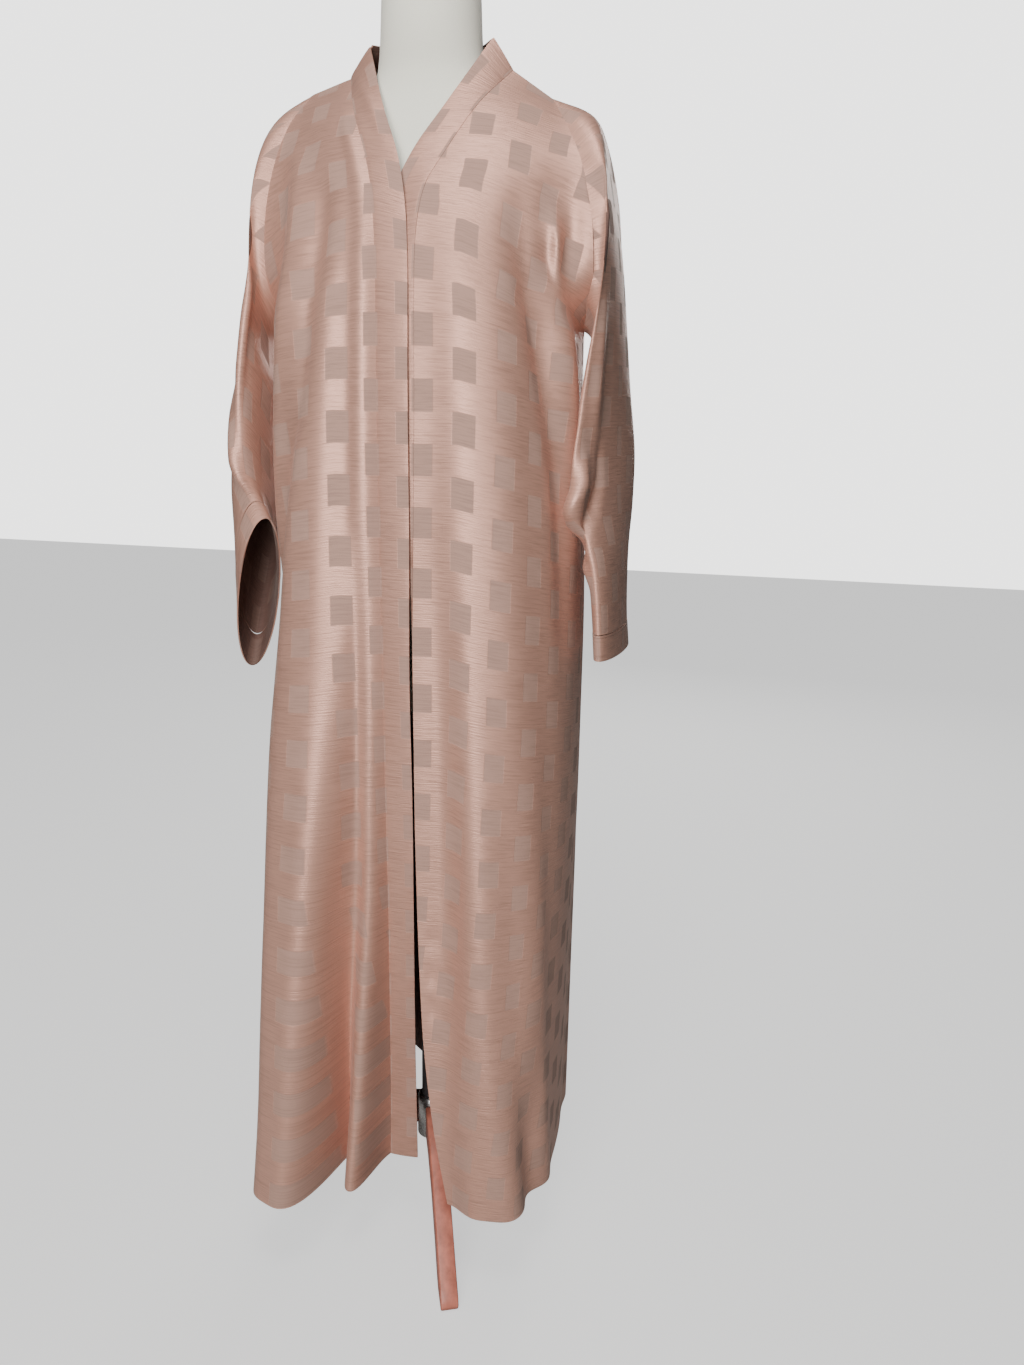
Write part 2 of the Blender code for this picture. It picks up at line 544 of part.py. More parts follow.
def make_stand():
    grey = material("pole_grey", (0.085, 0.075, 0.080), 0.45, 0.3)
    metal = material("hub_metal", (0.70, 0.70, 0.70), 0.3, 0.9)
    wood = material("leg_wood", (0.55, 0.28, 0.22), 0.45)

    pole_top = FORM["z"][0] - CLEAR
    ends = ((HUB_TOP + CLEAR, 1.0), (pole_top, 1.0))
    loft("pole", [disc(POLE_RADIUS * f, z) for z, f in ends], grey)
    shape = ((HUB_BOTTOM, 0.80), (HUB_BOTTOM + 0.004, 1.0), (HUB_TOP - 0.004, 1.0),
             (HUB_TOP, 0.86))
    loft("hub", [disc(HUB_RADIUS * f, z) for z, f in shape], metal)

    # A leg's outline seen from its side: distance from the axis and height, round
    # from the hub along its top to the foot and back along its underside.
    start = HUB_RADIUS + CLEAR + 0.0006
    top_line = [(start, 0.158), (0.060, 0.148), (0.110, 0.120), (0.160, 0.082),
                (0.200, 0.045), (0.222, 0.026)]
    foot = [(LEG_REACH - 0.004, 0.018), (LEG_REACH, 0.008), (LEG_REACH - 0.004, 0.0)]
    underside = [(0.196, 0.0), (0.182, 0.010), (0.150, 0.042), (0.104, 0.080),
                 (0.060, 0.101), (start, 0.108)]
    outline = top_line + foot + underside
    for number, turn in enumerate(LEG_TURNS, start=1):
        angle = math.radians(turn)
        away = np.array([math.sin(angle), -math.cos(angle), 0.0])
        across = np.array([math.cos(angle), math.sin(angle), 0.0])
        bm = bmesh.new()
        sides = []
        for shift in (-LEG_WIDTH / 2, LEG_WIDTH / 2):
            sides.append([bm.verts.new(away * r + across * shift + (0, 0, z))
                          for r, z in outline])
        count = len(outline)
        for i in range(count):
            j = (i + 1) % count
            bm.faces.new((sides[0][i], sides[0][j], sides[1][j], sides[1][i]))
        bm.faces.new(sides[0][::-1])
        bm.faces.new(sides[1])
        bmesh.ops.recalc_face_normals(bm, faces=bm.faces)
        add_object("leg_%d" % number, bm, wood, smooth=False)


def main():
    for obj in list(bpy.data.objects):
        bpy.data.objects.remove(obj)
    make_cloak()
    make_form()
    make_stand()


main()
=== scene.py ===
import math

import bpy
import numpy as np
from mathutils import Euler, Matrix, Vector


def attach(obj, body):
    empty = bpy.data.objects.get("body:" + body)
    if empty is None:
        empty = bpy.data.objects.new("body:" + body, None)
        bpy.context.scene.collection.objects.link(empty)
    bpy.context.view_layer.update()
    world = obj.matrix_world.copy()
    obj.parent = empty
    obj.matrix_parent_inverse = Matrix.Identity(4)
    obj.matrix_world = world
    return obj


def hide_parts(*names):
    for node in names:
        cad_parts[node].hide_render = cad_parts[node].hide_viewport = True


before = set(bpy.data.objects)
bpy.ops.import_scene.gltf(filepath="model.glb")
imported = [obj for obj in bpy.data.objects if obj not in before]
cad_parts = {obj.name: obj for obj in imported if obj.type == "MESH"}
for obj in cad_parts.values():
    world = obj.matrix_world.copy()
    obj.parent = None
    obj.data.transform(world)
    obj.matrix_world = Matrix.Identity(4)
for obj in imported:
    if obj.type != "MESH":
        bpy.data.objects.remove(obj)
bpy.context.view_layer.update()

scene = bpy.context.scene
bpy.ops.object.select_all(action="DESELECT")


# ------------------------------------------------------------------ the studio
# A plain pale floor under a pale sky, with a tall soft light in front of the garment,
# one above it and one behind it. The floor and sky look bright but light the cloth
# little. The camera stands a little to the wearer's left and looks slightly down.
FLOOR_GLOW = 0.95        # how bright the floor looks, and does not shine
SKY_SEEN = 2.8
SKY_LIGHTING = 0.05
LAMP_COLOUR = (1.0, 0.985, 0.965)
bpy.ops.mesh.primitive_plane_add(size=14.0, location=(0, 0, 0))
floor = bpy.context.object
floor.name = "floor"
floor_paint = bpy.data.materials.new("floor_paint")
floor_paint.use_nodes = True
paint = floor_paint.node_tree.nodes["Principled BSDF"]
paint.inputs["Base Color"].default_value = (0.32, 0.32, 0.315, 1)
paint.inputs["Roughness"].default_value = 0.8
paint.inputs["Emission Color"].default_value = (1, 1, 1, 1)
lit_to_the_eye = floor_paint.node_tree.nodes.new("ShaderNodeLightPath")
glow = floor_paint.node_tree.nodes.new("ShaderNodeMapRange")
glow.inputs["To Min"].default_value = 0.0
glow.inputs["To Max"].default_value = FLOOR_GLOW
floor_paint.node_tree.links.new(lit_to_the_eye.outputs["Is Camera Ray"], glow.inputs["Value"])
floor_paint.node_tree.links.new(glow.outputs["Result"], paint.inputs["Emission Strength"])
floor.data.materials.append(floor_paint)

sky = bpy.data.worlds.new("studio_sky")
scene.world = sky
sky.use_nodes = True
sky_nodes = sky.node_tree.nodes
sky_links = sky.node_tree.links
seen = sky_nodes["Background"]
seen.inputs["Color"].default_value = (1.0, 0.995, 0.985, 1)
seen.inputs["Strength"].default_value = SKY_SEEN
lighting = sky_nodes.new("ShaderNodeBackground")
lighting.inputs["Color"].default_value = (1.0, 0.985, 0.965, 1)
lighting.inputs["Strength"].default_value = SKY_LIGHTING
which = sky_nodes.new("ShaderNodeLightPath")
both = sky_nodes.new("ShaderNodeMixShader")
sky_links.new(which.outputs["Is Camera Ray"], both.inputs[0])
sky_links.new(lighting.outputs[0], both.inputs[1])
sky_links.new(seen.outputs[0], both.inputs[2])
sky_links.new(both.outputs[0], sky_nodes["World Output"].inputs["Surface"])


def soft_light(name, place, aim, wide, high, watts, colour):
    """A rectangular soft light that faces a point."""
    lamp = bpy.data.lights.new(name, "AREA")
    lamp.shape = "RECTANGLE"
    lamp.size = wide
    lamp.size_y = high
    lamp.energy = watts
    lamp.color = colour
    light = bpy.data.objects.new(name, lamp)
    scene.collection.objects.link(light)
    way = Vector(aim) - Vector(place)
    turned = way.to_track_quat("-Z", "Y").to_matrix().to_4x4()
    light.matrix_world = Matrix.Translation(place) @ turned


soft_light("front_softbox", (0.02, -2.2, 1.30), (0, 0, 0.72), 0.9, 1.9, 58, LAMP_COLOUR)
soft_light("ceiling_panel", (0.15, -0.75, 3.0), (0, -0.05, 1.45), 0.9, 0.9, 26, LAMP_COLOUR)
soft_light("rear_softbox", (0.2, 2.9, 2.0), (0, 0, 0.95), 1.4, 1.6, 52, (1.0, 0.985, 0.96))

camera_data = bpy.data.cameras.new("camera")
camera_data.lens = 26.0
camera_data.sensor_width = 36.0
camera_data.dof.use_dof = False
camera = bpy.data.objects.new("camera", camera_data)
scene.collection.objects.link(camera)
stands_at = Matrix.Translation((0.380, -1.243, 1.150))
looks = Euler((math.radians(90 - 14.6), 0, math.radians(12.2))).to_matrix().to_4x4()
camera.matrix_world = stands_at @ looks @ Matrix.Rotation(math.radians(1.2), 4, "Z")
scene.camera = camera


# -------------------------------------------------------- front, wearer's right
# One length of jacquard satin from the shoulder to the hem, cut with a little
# flare. Its straight grain runs down the front edge, where the band is sewn on.
# Below the bust it falls in one broad fold and one narrow pleat beside the band.
CLOTH = 0.0011           # one layer of the cloth
UNDERARM_Z = 1.262
UNDERARM = 8             # the table row where the side seam meets the sleeve
BACK_NECK = 12           # the back's row at the middle of its neck seam
BLUNT = 0.25             # share of a fold's half width over which its top is flat
BLOCK_PITCH = 0.0455     # between the woven columns of blocks
BLOCK_REPEAT = 0.0703    # from one block to the next in a column
BLOCK_START = 1.1441     # height on the cloth of one block in the first column
SKIRT_ROWS = 168
YOKE_ROWS = 56
NECK_ROWS = 20
FRONT_COLUMNS = 96


def table(columns, rows):
    """A table with named columns, as arrays."""
    values = np.array(rows, dtype=float)
    return {name: values[:, i] for i, name in enumerate(columns.split())}


def curve(at, knots, values):
    """Smooth curve through the values at the knots, which never overshoots them."""
    at = np.clip(np.asarray(at, dtype=float), knots[0], knots[-1])
    values = np.asarray(values, dtype=float)
    step = np.diff(knots).reshape((-1,) + (1,) * (values.ndim - 1))
    rise = np.diff(values, axis=0) / step
    both_sides = rise[:-1] * rise[1:]
    mean = 2 * both_sides / np.where(both_sides > 0, rise[:-1] + rise[1:], 1.0)
    slope = np.concatenate([rise[:1], np.where(both_sides > 0, mean, 0.0), rise[-1:]])
    i = np.clip(np.searchsorted(knots, at, side="right") - 1, 0, len(step) - 1)
    h = step[i]
    f = (at - knots[i]) / (knots[i + 1] - knots[i])
    return (values[i] * (1 + 2 * f) * (1 - f) ** 2 + values[i + 1] * f * f * (3 - 2 * f)
            + slope[i] * h * f * (1 - f) ** 2 - slope[i + 1] * h * f * f * (1 - f))


def points(tab, name):
    """The x, y, z columns of one named line of a table."""
    return np.stack([tab[name + "_x"], tab[name + "_y"], tab[name + "_z"]], axis=1)


def along(tab, name):
    """Length along one named line of a table, at each of its rows."""
    steps = np.linalg.norm(np.diff(points(tab, name), axis=0), axis=1)
    return np.concatenate([[0.0], np.cumsum(steps)])


def line_at(tab, name, knots, t):
    """Points of one named line of a table at the lengths t."""
    p = points(tab, name)
    return np.stack([curve(t, knots, p[:, k]) for k in range(3)], axis=-1)


def row_sweep(inner, outer, full, turn, count=400):
    """Level run of cloth from an inner to an outer point, as an even polyline."""
    dx = outer[0] - inner[0]
    dy = outer[1] - inner[1]
    p1 = np.array([inner[0] + full * dx, inner[1]])
    p2 = np.array([outer[0] - (1 - turn) * full * dx, outer[1] - turn * full * dy])
    f = np.linspace(0, 1, count)[:, None]
    run = (inner[:2] * (1 - f) ** 3 + p1 * 3 * f * (1 - f) ** 2
           + p2 * 3 * f * f * (1 - f) + outer[:2] * f ** 3)
    reach = np.concatenate([[0], np.cumsum(np.linalg.norm(np.diff(run, axis=0), axis=1))])
    return run, reach


def bump(distance, half_width):
    """Soft ridge with a blunt top: 1 over its middle, 0 past its half width."""
    out = (np.abs(distance) / half_width - BLUNT) / (1 - BLUNT)
    return 0.5 + 0.5 * np.cos(np.pi * np.clip(out, 0, 1))


def levels(tab, inner):
    """Lengths up a panel at which its rows run."""
    knots = along(tab, inner)
    skirt = np.linspace(0, knots[UNDERARM], SKIRT_ROWS + 1)
    if len(knots) - 1 > BACK_NECK:
        yoke = np.linspace(knots[UNDERARM], knots[BACK_NECK], YOKE_ROWS - NECK_ROWS + 1)
        neck = np.linspace(knots[BACK_NECK], knots[-1], NECK_ROWS + 1)
        return knots, np.concatenate([skirt, yoke[1:], neck[1:]])
    yoke = np.linspace(knots[UNDERARM], knots[-1], YOKE_ROWS + 1)
    return knots, np.concatenate([skirt, yoke[1:]])


def ease(rows, passes=6):
    """Evens out the run of each column of points from row to row, ends kept."""
    rows = rows.copy()
    for _ in range(passes):
        rows[1:-1] = 0.25 * rows[:-2] + 0.5 * rows[1:-1] + 0.25 * rows[2:]
    return rows


def ease_across(grid, passes=4):
    """The same along each row."""
    return ease(grid.swapaxes(0, 1), passes).swapaxes(0, 1)


def panel(tab, inner, folds, outward, columns):
    """One panel: its points from the hem up and from its inner edge out, and their
    places on the flat cloth."""
    knots, rows = levels(tab, inner)
    grid = []
    flat = []
    for t in rows:
        a = line_at(tab, inner, knots, t)
        b = line_at(tab, "side", knots, t)
        run, reach = row_sweep(a, b, curve(t, knots, tab["full"]), curve(t, knots, tab["turn"]))
        at = np.linspace(0, reach[-1], columns + 1)
        x = np.interp(at, reach, run[:, 0])
        y = np.interp(at, reach, run[:, 1])
        z = a[2] + (b[2] - a[2]) * at / reach[-1]
        tangent = np.gradient(np.stack([x, y], axis=1), at, axis=0)
        tangent /= np.linalg.norm(tangent, axis=1)[:, None]
        push = np.zeros(len(at))
        for fold in folds.values():
            inside = (z >= fold["z"][0]) & (z <= fold["z"][-1])
            centre = curve(z, fold["z"], fold["reach"])
            height = np.where(inside, curve(z, fold["z"], fold["height"]), 0.0)
            push += height * bump(at - centre, curve(z, fold["z"], fold["half_width"]))
        ends = np.clip(np.minimum(at, reach[-1] - at) / 0.013, 0, 1)
        push *= ends * ends * (3 - 2 * ends)
        x += push * tangent[:, 1] * outward
        y -= push * tangent[:, 0] * outward
        grid.append(np.stack([x, y, z], axis=1))
        flat.append(np.stack([at, np.full(len(at), t)], axis=1))
    return ease_across(ease(np.array(grid), 12), 14), np.array(flat)


def on_grain(flat, z, columns, sink):
    """Places on the flat cloth moved to its woven columns. columns lists, for each
    height, the reach of each column; sink lists how steeply the weft drops outwards."""
    columns = np.array(columns)[::-1]
    sink = np.array(sink)[::-1]
    reach = flat[..., 0]
    knots = [np.interp(z, columns[:, 0], columns[:, k]) for k in range(1, columns.shape[1])]
    run = (reach - knots[0]) / BLOCK_PITCH
    for k, (near, far) in enumerate(zip(knots, knots[1:])):
        run = np.where(reach > near, k + (reach - near) / (far - near), run)
    last = len(knots) - 1
    run = np.where(reach > knots[-1], last + (reach - knots[-1]) / BLOCK_PITCH, run)
    slope = np.interp(z, sink[:, 0], sink[:, 1])
    drop = slope * np.maximum(reach - 0.05, 0)
    return np.stack([run * BLOCK_PITCH, flat[..., 1] + drop], axis=2)


def surface_normals(grid, closed=False):
    """Unit normals of a grid of points, towards the side its rows turn to."""
    up = np.gradient(grid, axis=0)
    if closed:
        across = (np.roll(grid, -1, axis=1) - np.roll(grid, 1, axis=1)) / 2
    else:
        across = np.gradient(grid, axis=1)
    normal = np.cross(across, up)
    return normal / np.maximum(np.linalg.norm(normal, axis=2, keepdims=True), 1e-9)


def crease(place, path):
    """How far a crease lifts each point: path lists its reach, height above the floor,
    lift and half width, from one end to the other."""
    path = np.array(path, dtype=float)
    best = np.full(place.shape[:2], 1e9)
    lift = np.zeros(place.shape[:2])
    for a, b in zip(path, path[1:]):
        way = b[:2] - a[:2]
        f = np.clip(((place - a[:2]) @ way) / (way @ way), 0, 1)
        spot = a[:2] + f[..., None] * way
        distance = np.linalg.norm(place - spot, axis=2)
        width = a[3] + f * (b[3] - a[3])
        height = a[2] + f * (b[2] - a[2])
        nearer = distance < best
        best = np.where(nearer, distance, best)
        lift = np.where(nearer, height * np.exp(-(distance / width) ** 2), lift)
    return lift


def creased(grid, reach, paths, side, closed=False):
    """The grid with all its creases; side is 1 or -1, whichever points outwards."""
    place = np.stack([reach, grid[..., 2]], axis=2)
    lift = np.zeros(grid.shape[:2])
    for path in paths:
        lift += crease(place, path)
    lift = ease(lift[..., None], 3)[..., 0]
    return grid + surface_normals(grid, closed) * (lift * side)[..., None]


def sheet_piece(name, parts, wall, outer, inner):
    """Makes a piece of cloth from grids of points and their places on the flat cloth, and
    gives it its thickness."""
    corners = []
    faces = []
    places = []
    for grid, flat, closed, flip in parts:
        first = len(corners)
        rows, columns = grid.shape[:2]
        corners.extend(map(tuple, grid.reshape(-1, 3)))
        for r in range(rows - 1):
            for c in range(columns if closed else columns - 1):
                spots = [(r, c), (r, c + 1), (r + 1, c + 1), (r + 1, c)]
                if flip:
                    spots = spots[::-1]
                faces.append([first + i * columns + j % columns for i, j in spots])
                places.extend(flat[i, j] for i, j in spots)
    mesh = bpy.data.meshes.new(name)
    mesh.from_pydata(corners, [], faces)
    weave = mesh.uv_layers.new(name="weave")
    weave.data.foreach_set("uv", np.array(places).ravel())
    piece = bpy.data.objects.new(name, mesh)
    scene.collection.objects.link(piece)
    mesh.materials.append(outer)
    mesh.materials.append(inner)
    bpy.ops.object.select_all(action="DESELECT")
    piece.select_set(True)
    bpy.context.view_layer.objects.active = piece
    bpy.ops.object.mode_set(mode="EDIT")
    bpy.ops.mesh.select_all(action="SELECT")
    bpy.ops.mesh.remove_doubles(threshold=0.00002)
    bpy.ops.object.mode_set(mode="OBJECT")
    mesh.shade_smooth()
    solid = piece.modifiers.new("Thickness", "SOLIDIFY")
    solid.thickness = wall
    solid.offset = 0.0
    solid.material_offset = 1
    solid.material_offset_rim = 0
    bpy.ops.object.modifier_apply(modifier="Thickness")
    bpy.ops.object.shade_smooth_by_angle(angle=math.radians(50))
    piece.select_set(False)
    return piece


def chain(mat, kind, *inputs, **settings):
    """Adds a node with its settings and its inputs, each a value or another's output."""
    made = mat.node_tree.nodes.new(kind)
    for name, value in settings.items():
        setattr(made, name, value)
    for i, value in enumerate(inputs):
        if isinstance(value, bpy.types.NodeSocket):
            mat.node_tree.links.new(value, made.inputs[i])
        elif value is not None:
            made.inputs[i].default_value = value
    return made


def jacquard_satin(name, ground, figure, stitches=None, wrong_side=False):
    """Satin with matte woven blocks in a half drop, and the fine cross ribs of crepe, whose lines
    darken the colour as painted shade. stitches is the height of a stitched line above the edge, in
    metres."""
    mat = bpy.data.materials.new(name)
    mat.use_nodes = True
    shader = mat.node_tree.nodes["Principled BSDF"]
    link = mat.node_tree.links.new

    def maths(operation, *values):
        return chain(mat, "ShaderNodeMath", *values, operation=operation).outputs[0]

    flat = chain(mat, "ShaderNodeUVMap", uv_map="weave").outputs[0]
    split = chain(mat, "ShaderNodeSeparateXYZ", flat)
    u = maths("ADD", split.outputs[0], 200.5 * BLOCK_PITCH)
    v = maths("ADD", split.outputs[1], 100.5 * BLOCK_REPEAT - BLOCK_START)
    column = maths("DIVIDE", u, BLOCK_PITCH)
    odd = maths("MODULO", maths("FLOOR", column), 2.0)
    row = maths("ADD", maths("DIVIDE", v, BLOCK_REPEAT), maths("MULTIPLY", odd, 0.5))
    off_middle_u = maths("ABSOLUTE", maths("SUBTRACT", maths("FRACT", column), 0.5))
    off_middle_v = maths("ABSOLUTE", maths("SUBTRACT", maths("FRACT", row), 0.5))
    in_u = chain(mat, "ShaderNodeMapRange", off_middle_u, 0.278, 0.254, 0.0, 1.0).outputs[0]
    in_v = chain(mat, "ShaderNodeMapRange", off_middle_v, 0.260, 0.244, 0.0, 1.0).outputs[0]
    block = maths("MULTIPLY", in_u, in_v)

    # Cross ribs: a noise that is long across the cloth and short up it.
    ribs_at = chain(mat, "ShaderNodeMapping", flat, None, None, (30.0, 520.0, 1.0)).outputs[0]
    ribs = chain(mat, "ShaderNodeTexNoise", ribs_at, None, 1.0, 2.0, 0.55).outputs[0]
    threads_at = chain(mat, "ShaderNodeMapping", flat, None, None, (900.0, 700.0, 1.0)).outputs[0]
    threads = chain(mat, "ShaderNodeTexNoise", threads_at, None, 1.0, 1.0, 0.5).outputs[0]
    drift = chain(mat, "ShaderNodeTexNoise", flat, None, 9.0, 3.0, 0.6).outputs[0]

    base = chain(mat, "ShaderNodeMix", data_type="RGBA")
    link(block, base.inputs["Factor"])
    base.inputs[6].default_value = (*ground, 1)
    base.inputs[7].default_value = (*figure, 1)
    # The rib lines darken the base colour: painted shade in the grooves of the ribs, on top of
    # uneven tone from drift.
    painted_rib_shade = chain(mat, "ShaderNodeMapRange", ribs, 0.32, 0.55, 0.0, 1.0).outputs[0]
    shade = maths("ADD", maths("MULTIPLY", drift, 0.10), maths("MULTIPLY", painted_rib_shade, 0.20))
    shade = maths("ADD", shade, 0.80)
    if stitches:
        off_line = maths("ABSOLUTE", maths("SUBTRACT", split.outputs[1], stitches))
        on_line = chain(mat, "ShaderNodeMapRange", off_line, 0.0007, 0.0003, 0.0, 1.0).outputs[0]
        along_line = maths("FRACT", maths("MULTIPLY", split.outputs[0], 1 / 0.003))
        sewn = maths("MULTIPLY", on_line, maths("LESS_THAN", along_line, 0.75))
        # The stitched line is painted darker all along it: painted shade in the seam's groove.
        shade = maths("SUBTRACT", shade, maths("MULTIPLY", on_line, 0.25))
    base_with_painted_shade = chain(mat, "ShaderNodeMix", data_type="RGBA", blend_type="MULTIPLY")
    base_with_painted_shade.inputs["Factor"].default_value = 1.0
    link(base.outputs[2], base_with_painted_shade.inputs[6])
    grey = chain(mat, "ShaderNodeCombineColor", shade, shade, shade)
    link(grey.outputs[0], base_with_painted_shade.inputs[7])
    link(base_with_painted_shade.outputs[2], shader.inputs["Base Color"])

    ground_gloss = 0.75 if wrong_side else 0.46
    rough = maths("ADD", maths("MULTIPLY", block, 0.74 - ground_gloss), ground_gloss)
    rough = maths("ADD", rough, maths("MULTIPLY", maths("SUBTRACT", ribs, 0.5), 0.16))
    link(rough, shader.inputs["Roughness"])
    lustre = 0.0 if wrong_side else 0.42
    link(maths("MULTIPLY", maths("SUBTRACT", 1.0, block), lustre), shader.inputs["Metallic"])
    shader.inputs["Specular IOR Level"].default_value = 0.35
    shader.inputs["Sheen Weight"].default_value = 0.10
    shader.inputs["Sheen Roughness"].default_value = 0.45
    shader.inputs["Sheen Tint"].default_value = (1.0, 0.88, 0.82, 1)

    rib_height = maths("MULTIPLY", ribs, maths("SUBTRACT", 1.0, maths("MULTIPLY", block, 0.8)))
    relief = maths("ADD", rib_height, maths("MULTIPLY", threads, 0.22))
    relief = maths("ADD", relief, maths("MULTIPLY", block, 0.10))
    if stitches:
        relief = maths("SUBTRACT", relief, maths("MULTIPLY", sewn, 0.6))
    raised = chain(mat, "ShaderNodeBump")
    raised.inputs["Strength"].default_value = 0.85
    raised.inputs["Distance"].default_value = 0.0007
    link(relief, raised.inputs["Height"])
    link(raised.outputs[0], shader.inputs["Normal"])
    return mat


FRONT_COLS = ("seam_x seam_y seam_z edge_x edge_y edge_z side_x side_y side_z full turn")
FOLD_COLS = "z reach height half_width"
FRONT_RIGHT = table(FRONT_COLS, [
    (-0.040, -0.075, 0.110, 0.001, -0.074, 0.110, -0.205, 0.000, 0.110, 0.80, 1.00),
    (-0.036, -0.083, 0.235, 0.002, -0.083, 0.235, -0.208, 0.000, 0.235, 0.80, 1.00),
    (-0.030, -0.100, 0.381, 0.006, -0.100, 0.381, -0.208, 0.000, 0.381, 0.80, 1.00),
    (-0.024, -0.118, 0.545, 0.011, -0.118, 0.545, -0.205, 0.000, 0.545, 0.78, 1.00),
    (-0.021, -0.132, 0.690, 0.015, -0.133, 0.690, -0.200, 0.000, 0.690, 0.75, 1.00),
    (-0.018, -0.145, 0.870, 0.018, -0.151, 0.870, -0.190, 0.000, 0.870, 0.72, 1.00),
    (-0.017, -0.153, 1.064, 0.021, -0.158, 1.064, -0.186, 0.000, 1.064, 0.70, 1.00),
    (-0.017, -0.155, 1.180, 0.021, -0.160, 1.180, -0.184, 0.000, 1.180, 0.68, 1.00),
    (-0.018, -0.151, 1.290, 0.020, -0.155, 1.285, -0.187, -0.001, UNDERARM_Z, 0.66, 1.00),
    (-0.022, -0.142, 1.345, 0.016, -0.144, 1.338, -0.193, -0.055, 1.310, 0.60, 0.50),
    (-0.030, -0.127, 1.396, 0.009, -0.130, 1.384, -0.189, -0.063, 1.375, 0.52, 0.40),
    (-0.044, -0.106, 1.436, -0.003, -0.112, 1.428, -0.181, -0.056, 1.430, 0.45, 0.35),
    (-0.070, -0.070, 1.488, -0.035, -0.069, 1.492, -0.166, -0.034, 1.489, 0.38, 0.35),
    (-0.098, -0.004, 1.544, -0.0745, -0.002, 1.577, -0.147, -0.002, 1.530, 0.33, 0.50),
])
FOLDS_RIGHT = {
    "pleat": table(FOLD_COLS, [
        (0.11, 0.030, 0.088, 0.028),
        (0.32, 0.024, 0.056, 0.030),
        (0.62, 0.015, 0.022, 0.024),
        (0.95, 0.012, 0.009, 0.018),
        (1.28, 0.011, 0.006, 0.016),
        (1.48, 0.011, 0.004, 0.014),
    ]),
    "lobe": table(FOLD_COLS, [
        (0.11, 0.106, 0.142, 0.052),
        (0.42, 0.106, 0.096, 0.066),
        (0.70, 0.104, 0.052, 0.078),
        (0.95, 0.095, 0.024, 0.072),
        (1.28, 0.070, 0.010, 0.050),
        (1.42, 0.060, 0.000, 0.050),
    ]),
}

RIGHT_CREASES = [
    # reach, height above the floor, lift, half width
    [(0.058, 1.420, 0.000, 0.014), (0.062, 1.389, 0.005, 0.015), (0.068, 1.351, 0.008, 0.016),
     (0.074, 1.324, 0.009, 0.016), (0.083, 1.281, 0.009, 0.016), (0.088, 1.228, 0.009, 0.016),
     (0.097, 1.173, 0.008, 0.017), (0.117, 1.117, 0.008, 0.018), (0.139, 1.039, 0.007, 0.018),
     (0.150, 0.950, 0.004, 0.020), (0.155, 0.850, 0.000, 0.020)],
    [(0.100, 1.440, -0.004, 0.018), (0.104, 1.390, -0.011, 0.020), (0.112, 1.330, -0.016, 0.022),
     (0.122, 1.270, -0.016, 0.022), (0.134, 1.200, -0.014, 0.022), (0.154, 1.120, -0.011, 0.022),
     (0.174, 1.030, -0.007, 0.022), (0.184, 0.950, 0.000, 0.020)],
    [(0.014, 1.360, 0.000, 0.010), (0.016, 1.333, -0.002, 0.012), (0.018, 1.280, -0.003, 0.013),
     (0.021, 1.174, -0.004, 0.014), (0.025, 1.063, -0.005, 0.015), (0.032, 0.994, -0.005, 0.016),
     (0.044, 0.897, -0.006, 0.018), (0.051, 0.797, -0.007, 0.020), (0.055, 0.691, -0.007, 0.022),
     (0.059, 0.550, 0.000, 0.020)],
    [(0.070, 0.820, 0.000, 0.018), (0.076, 0.620, -0.007, 0.020), (0.080, 0.380, -0.010, 0.022),
     (0.080, 0.110, -0.010, 0.022)],
    [(0.140, 0.780, 0.000, 0.020), (0.148, 0.520, 0.006, 0.022), (0.154, 0.110, 0.008, 0.024)],
]

ROSE = (0.61, 0.338, 0.257)
BLOCKS = (0.415, 0.250, 0.198)
satin_right = jacquard_satin("satin_right", ROSE, BLOCKS)
# The inner faces are painted far darker than the satin's face: painted shade for the inside of the
# garment and the sleeve mouths.
satin_inside_painted_shade = jacquard_satin("satin_inside_painted_shade", (0.13, 0.070, 0.056), (0.16, 0.095, 0.076),
                              wrong_side=True)

right, right_flat = panel(FRONT_RIGHT, "seam", FOLDS_RIGHT, -1, FRONT_COLUMNS)
right = creased(right, right_flat[..., 0], RIGHT_CREASES, 1)
RIGHT_COLUMNS = [
    # height, then the reach of the first three columns of blocks
    (1.54, -0.060, -0.018, 0.026), (1.48, -0.032, 0.008, 0.054), (1.43, -0.008, 0.036, 0.082),
    (1.35, 0.001, 0.0436, 0.090), (1.10, 0.001, 0.0434, 0.0915), (0.90, 0.001, 0.0445, 0.090),
    (0.70, -0.001, 0.0385, 0.092), (0.57, -0.003, 0.039, 0.096), (0.50, -0.006, 0.0274, 0.094),
    (0.37, -0.024, 0.0123, 0.092), (0.11, -0.034, -0.002, 0.090)]
RIGHT_SINK = [(1.54, 0.20), (0.90, 0.20), (0.55, 0.06), (0.11, 0.0)]
right_weave = on_grain(right_flat, right[..., 2], RIGHT_COLUMNS, RIGHT_SINK)
front_right = sheet_piece("front_right_cloth", [(right, right_weave, False, True)], CLOTH,
                          satin_right, satin_inside_painted_shade)
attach(front_right, "root")
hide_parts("front_right")


# ---------------------------------------------------- front band, wearer's right
# A straight strip of the same satin folded double along its free edge, sewn to the
# front's edge from the shoulder to the hem.
BAND_CLOTH = 0.0022
BAND_COLUMNS = 14


def stand_off(seam, inside, outside, wall, room):
    """Starts a piece clear of the one it is sewn to: the sharper the fold, the further."""
    a = inside - seam
    b = outside - seam
    lengths = np.linalg.norm(a, axis=1) * np.linalg.norm(b, axis=1)
    angle = np.arccos(np.clip((a * b).sum(axis=1) / lengths, -1, 1))
    angle = np.maximum(angle, 0.9)
    start = room + np.maximum((CLOTH + wall * np.cos(angle)) / 2 / np.sin(angle), 0)
    return seam + b * (start / np.linalg.norm(b, axis=1))[:, None]


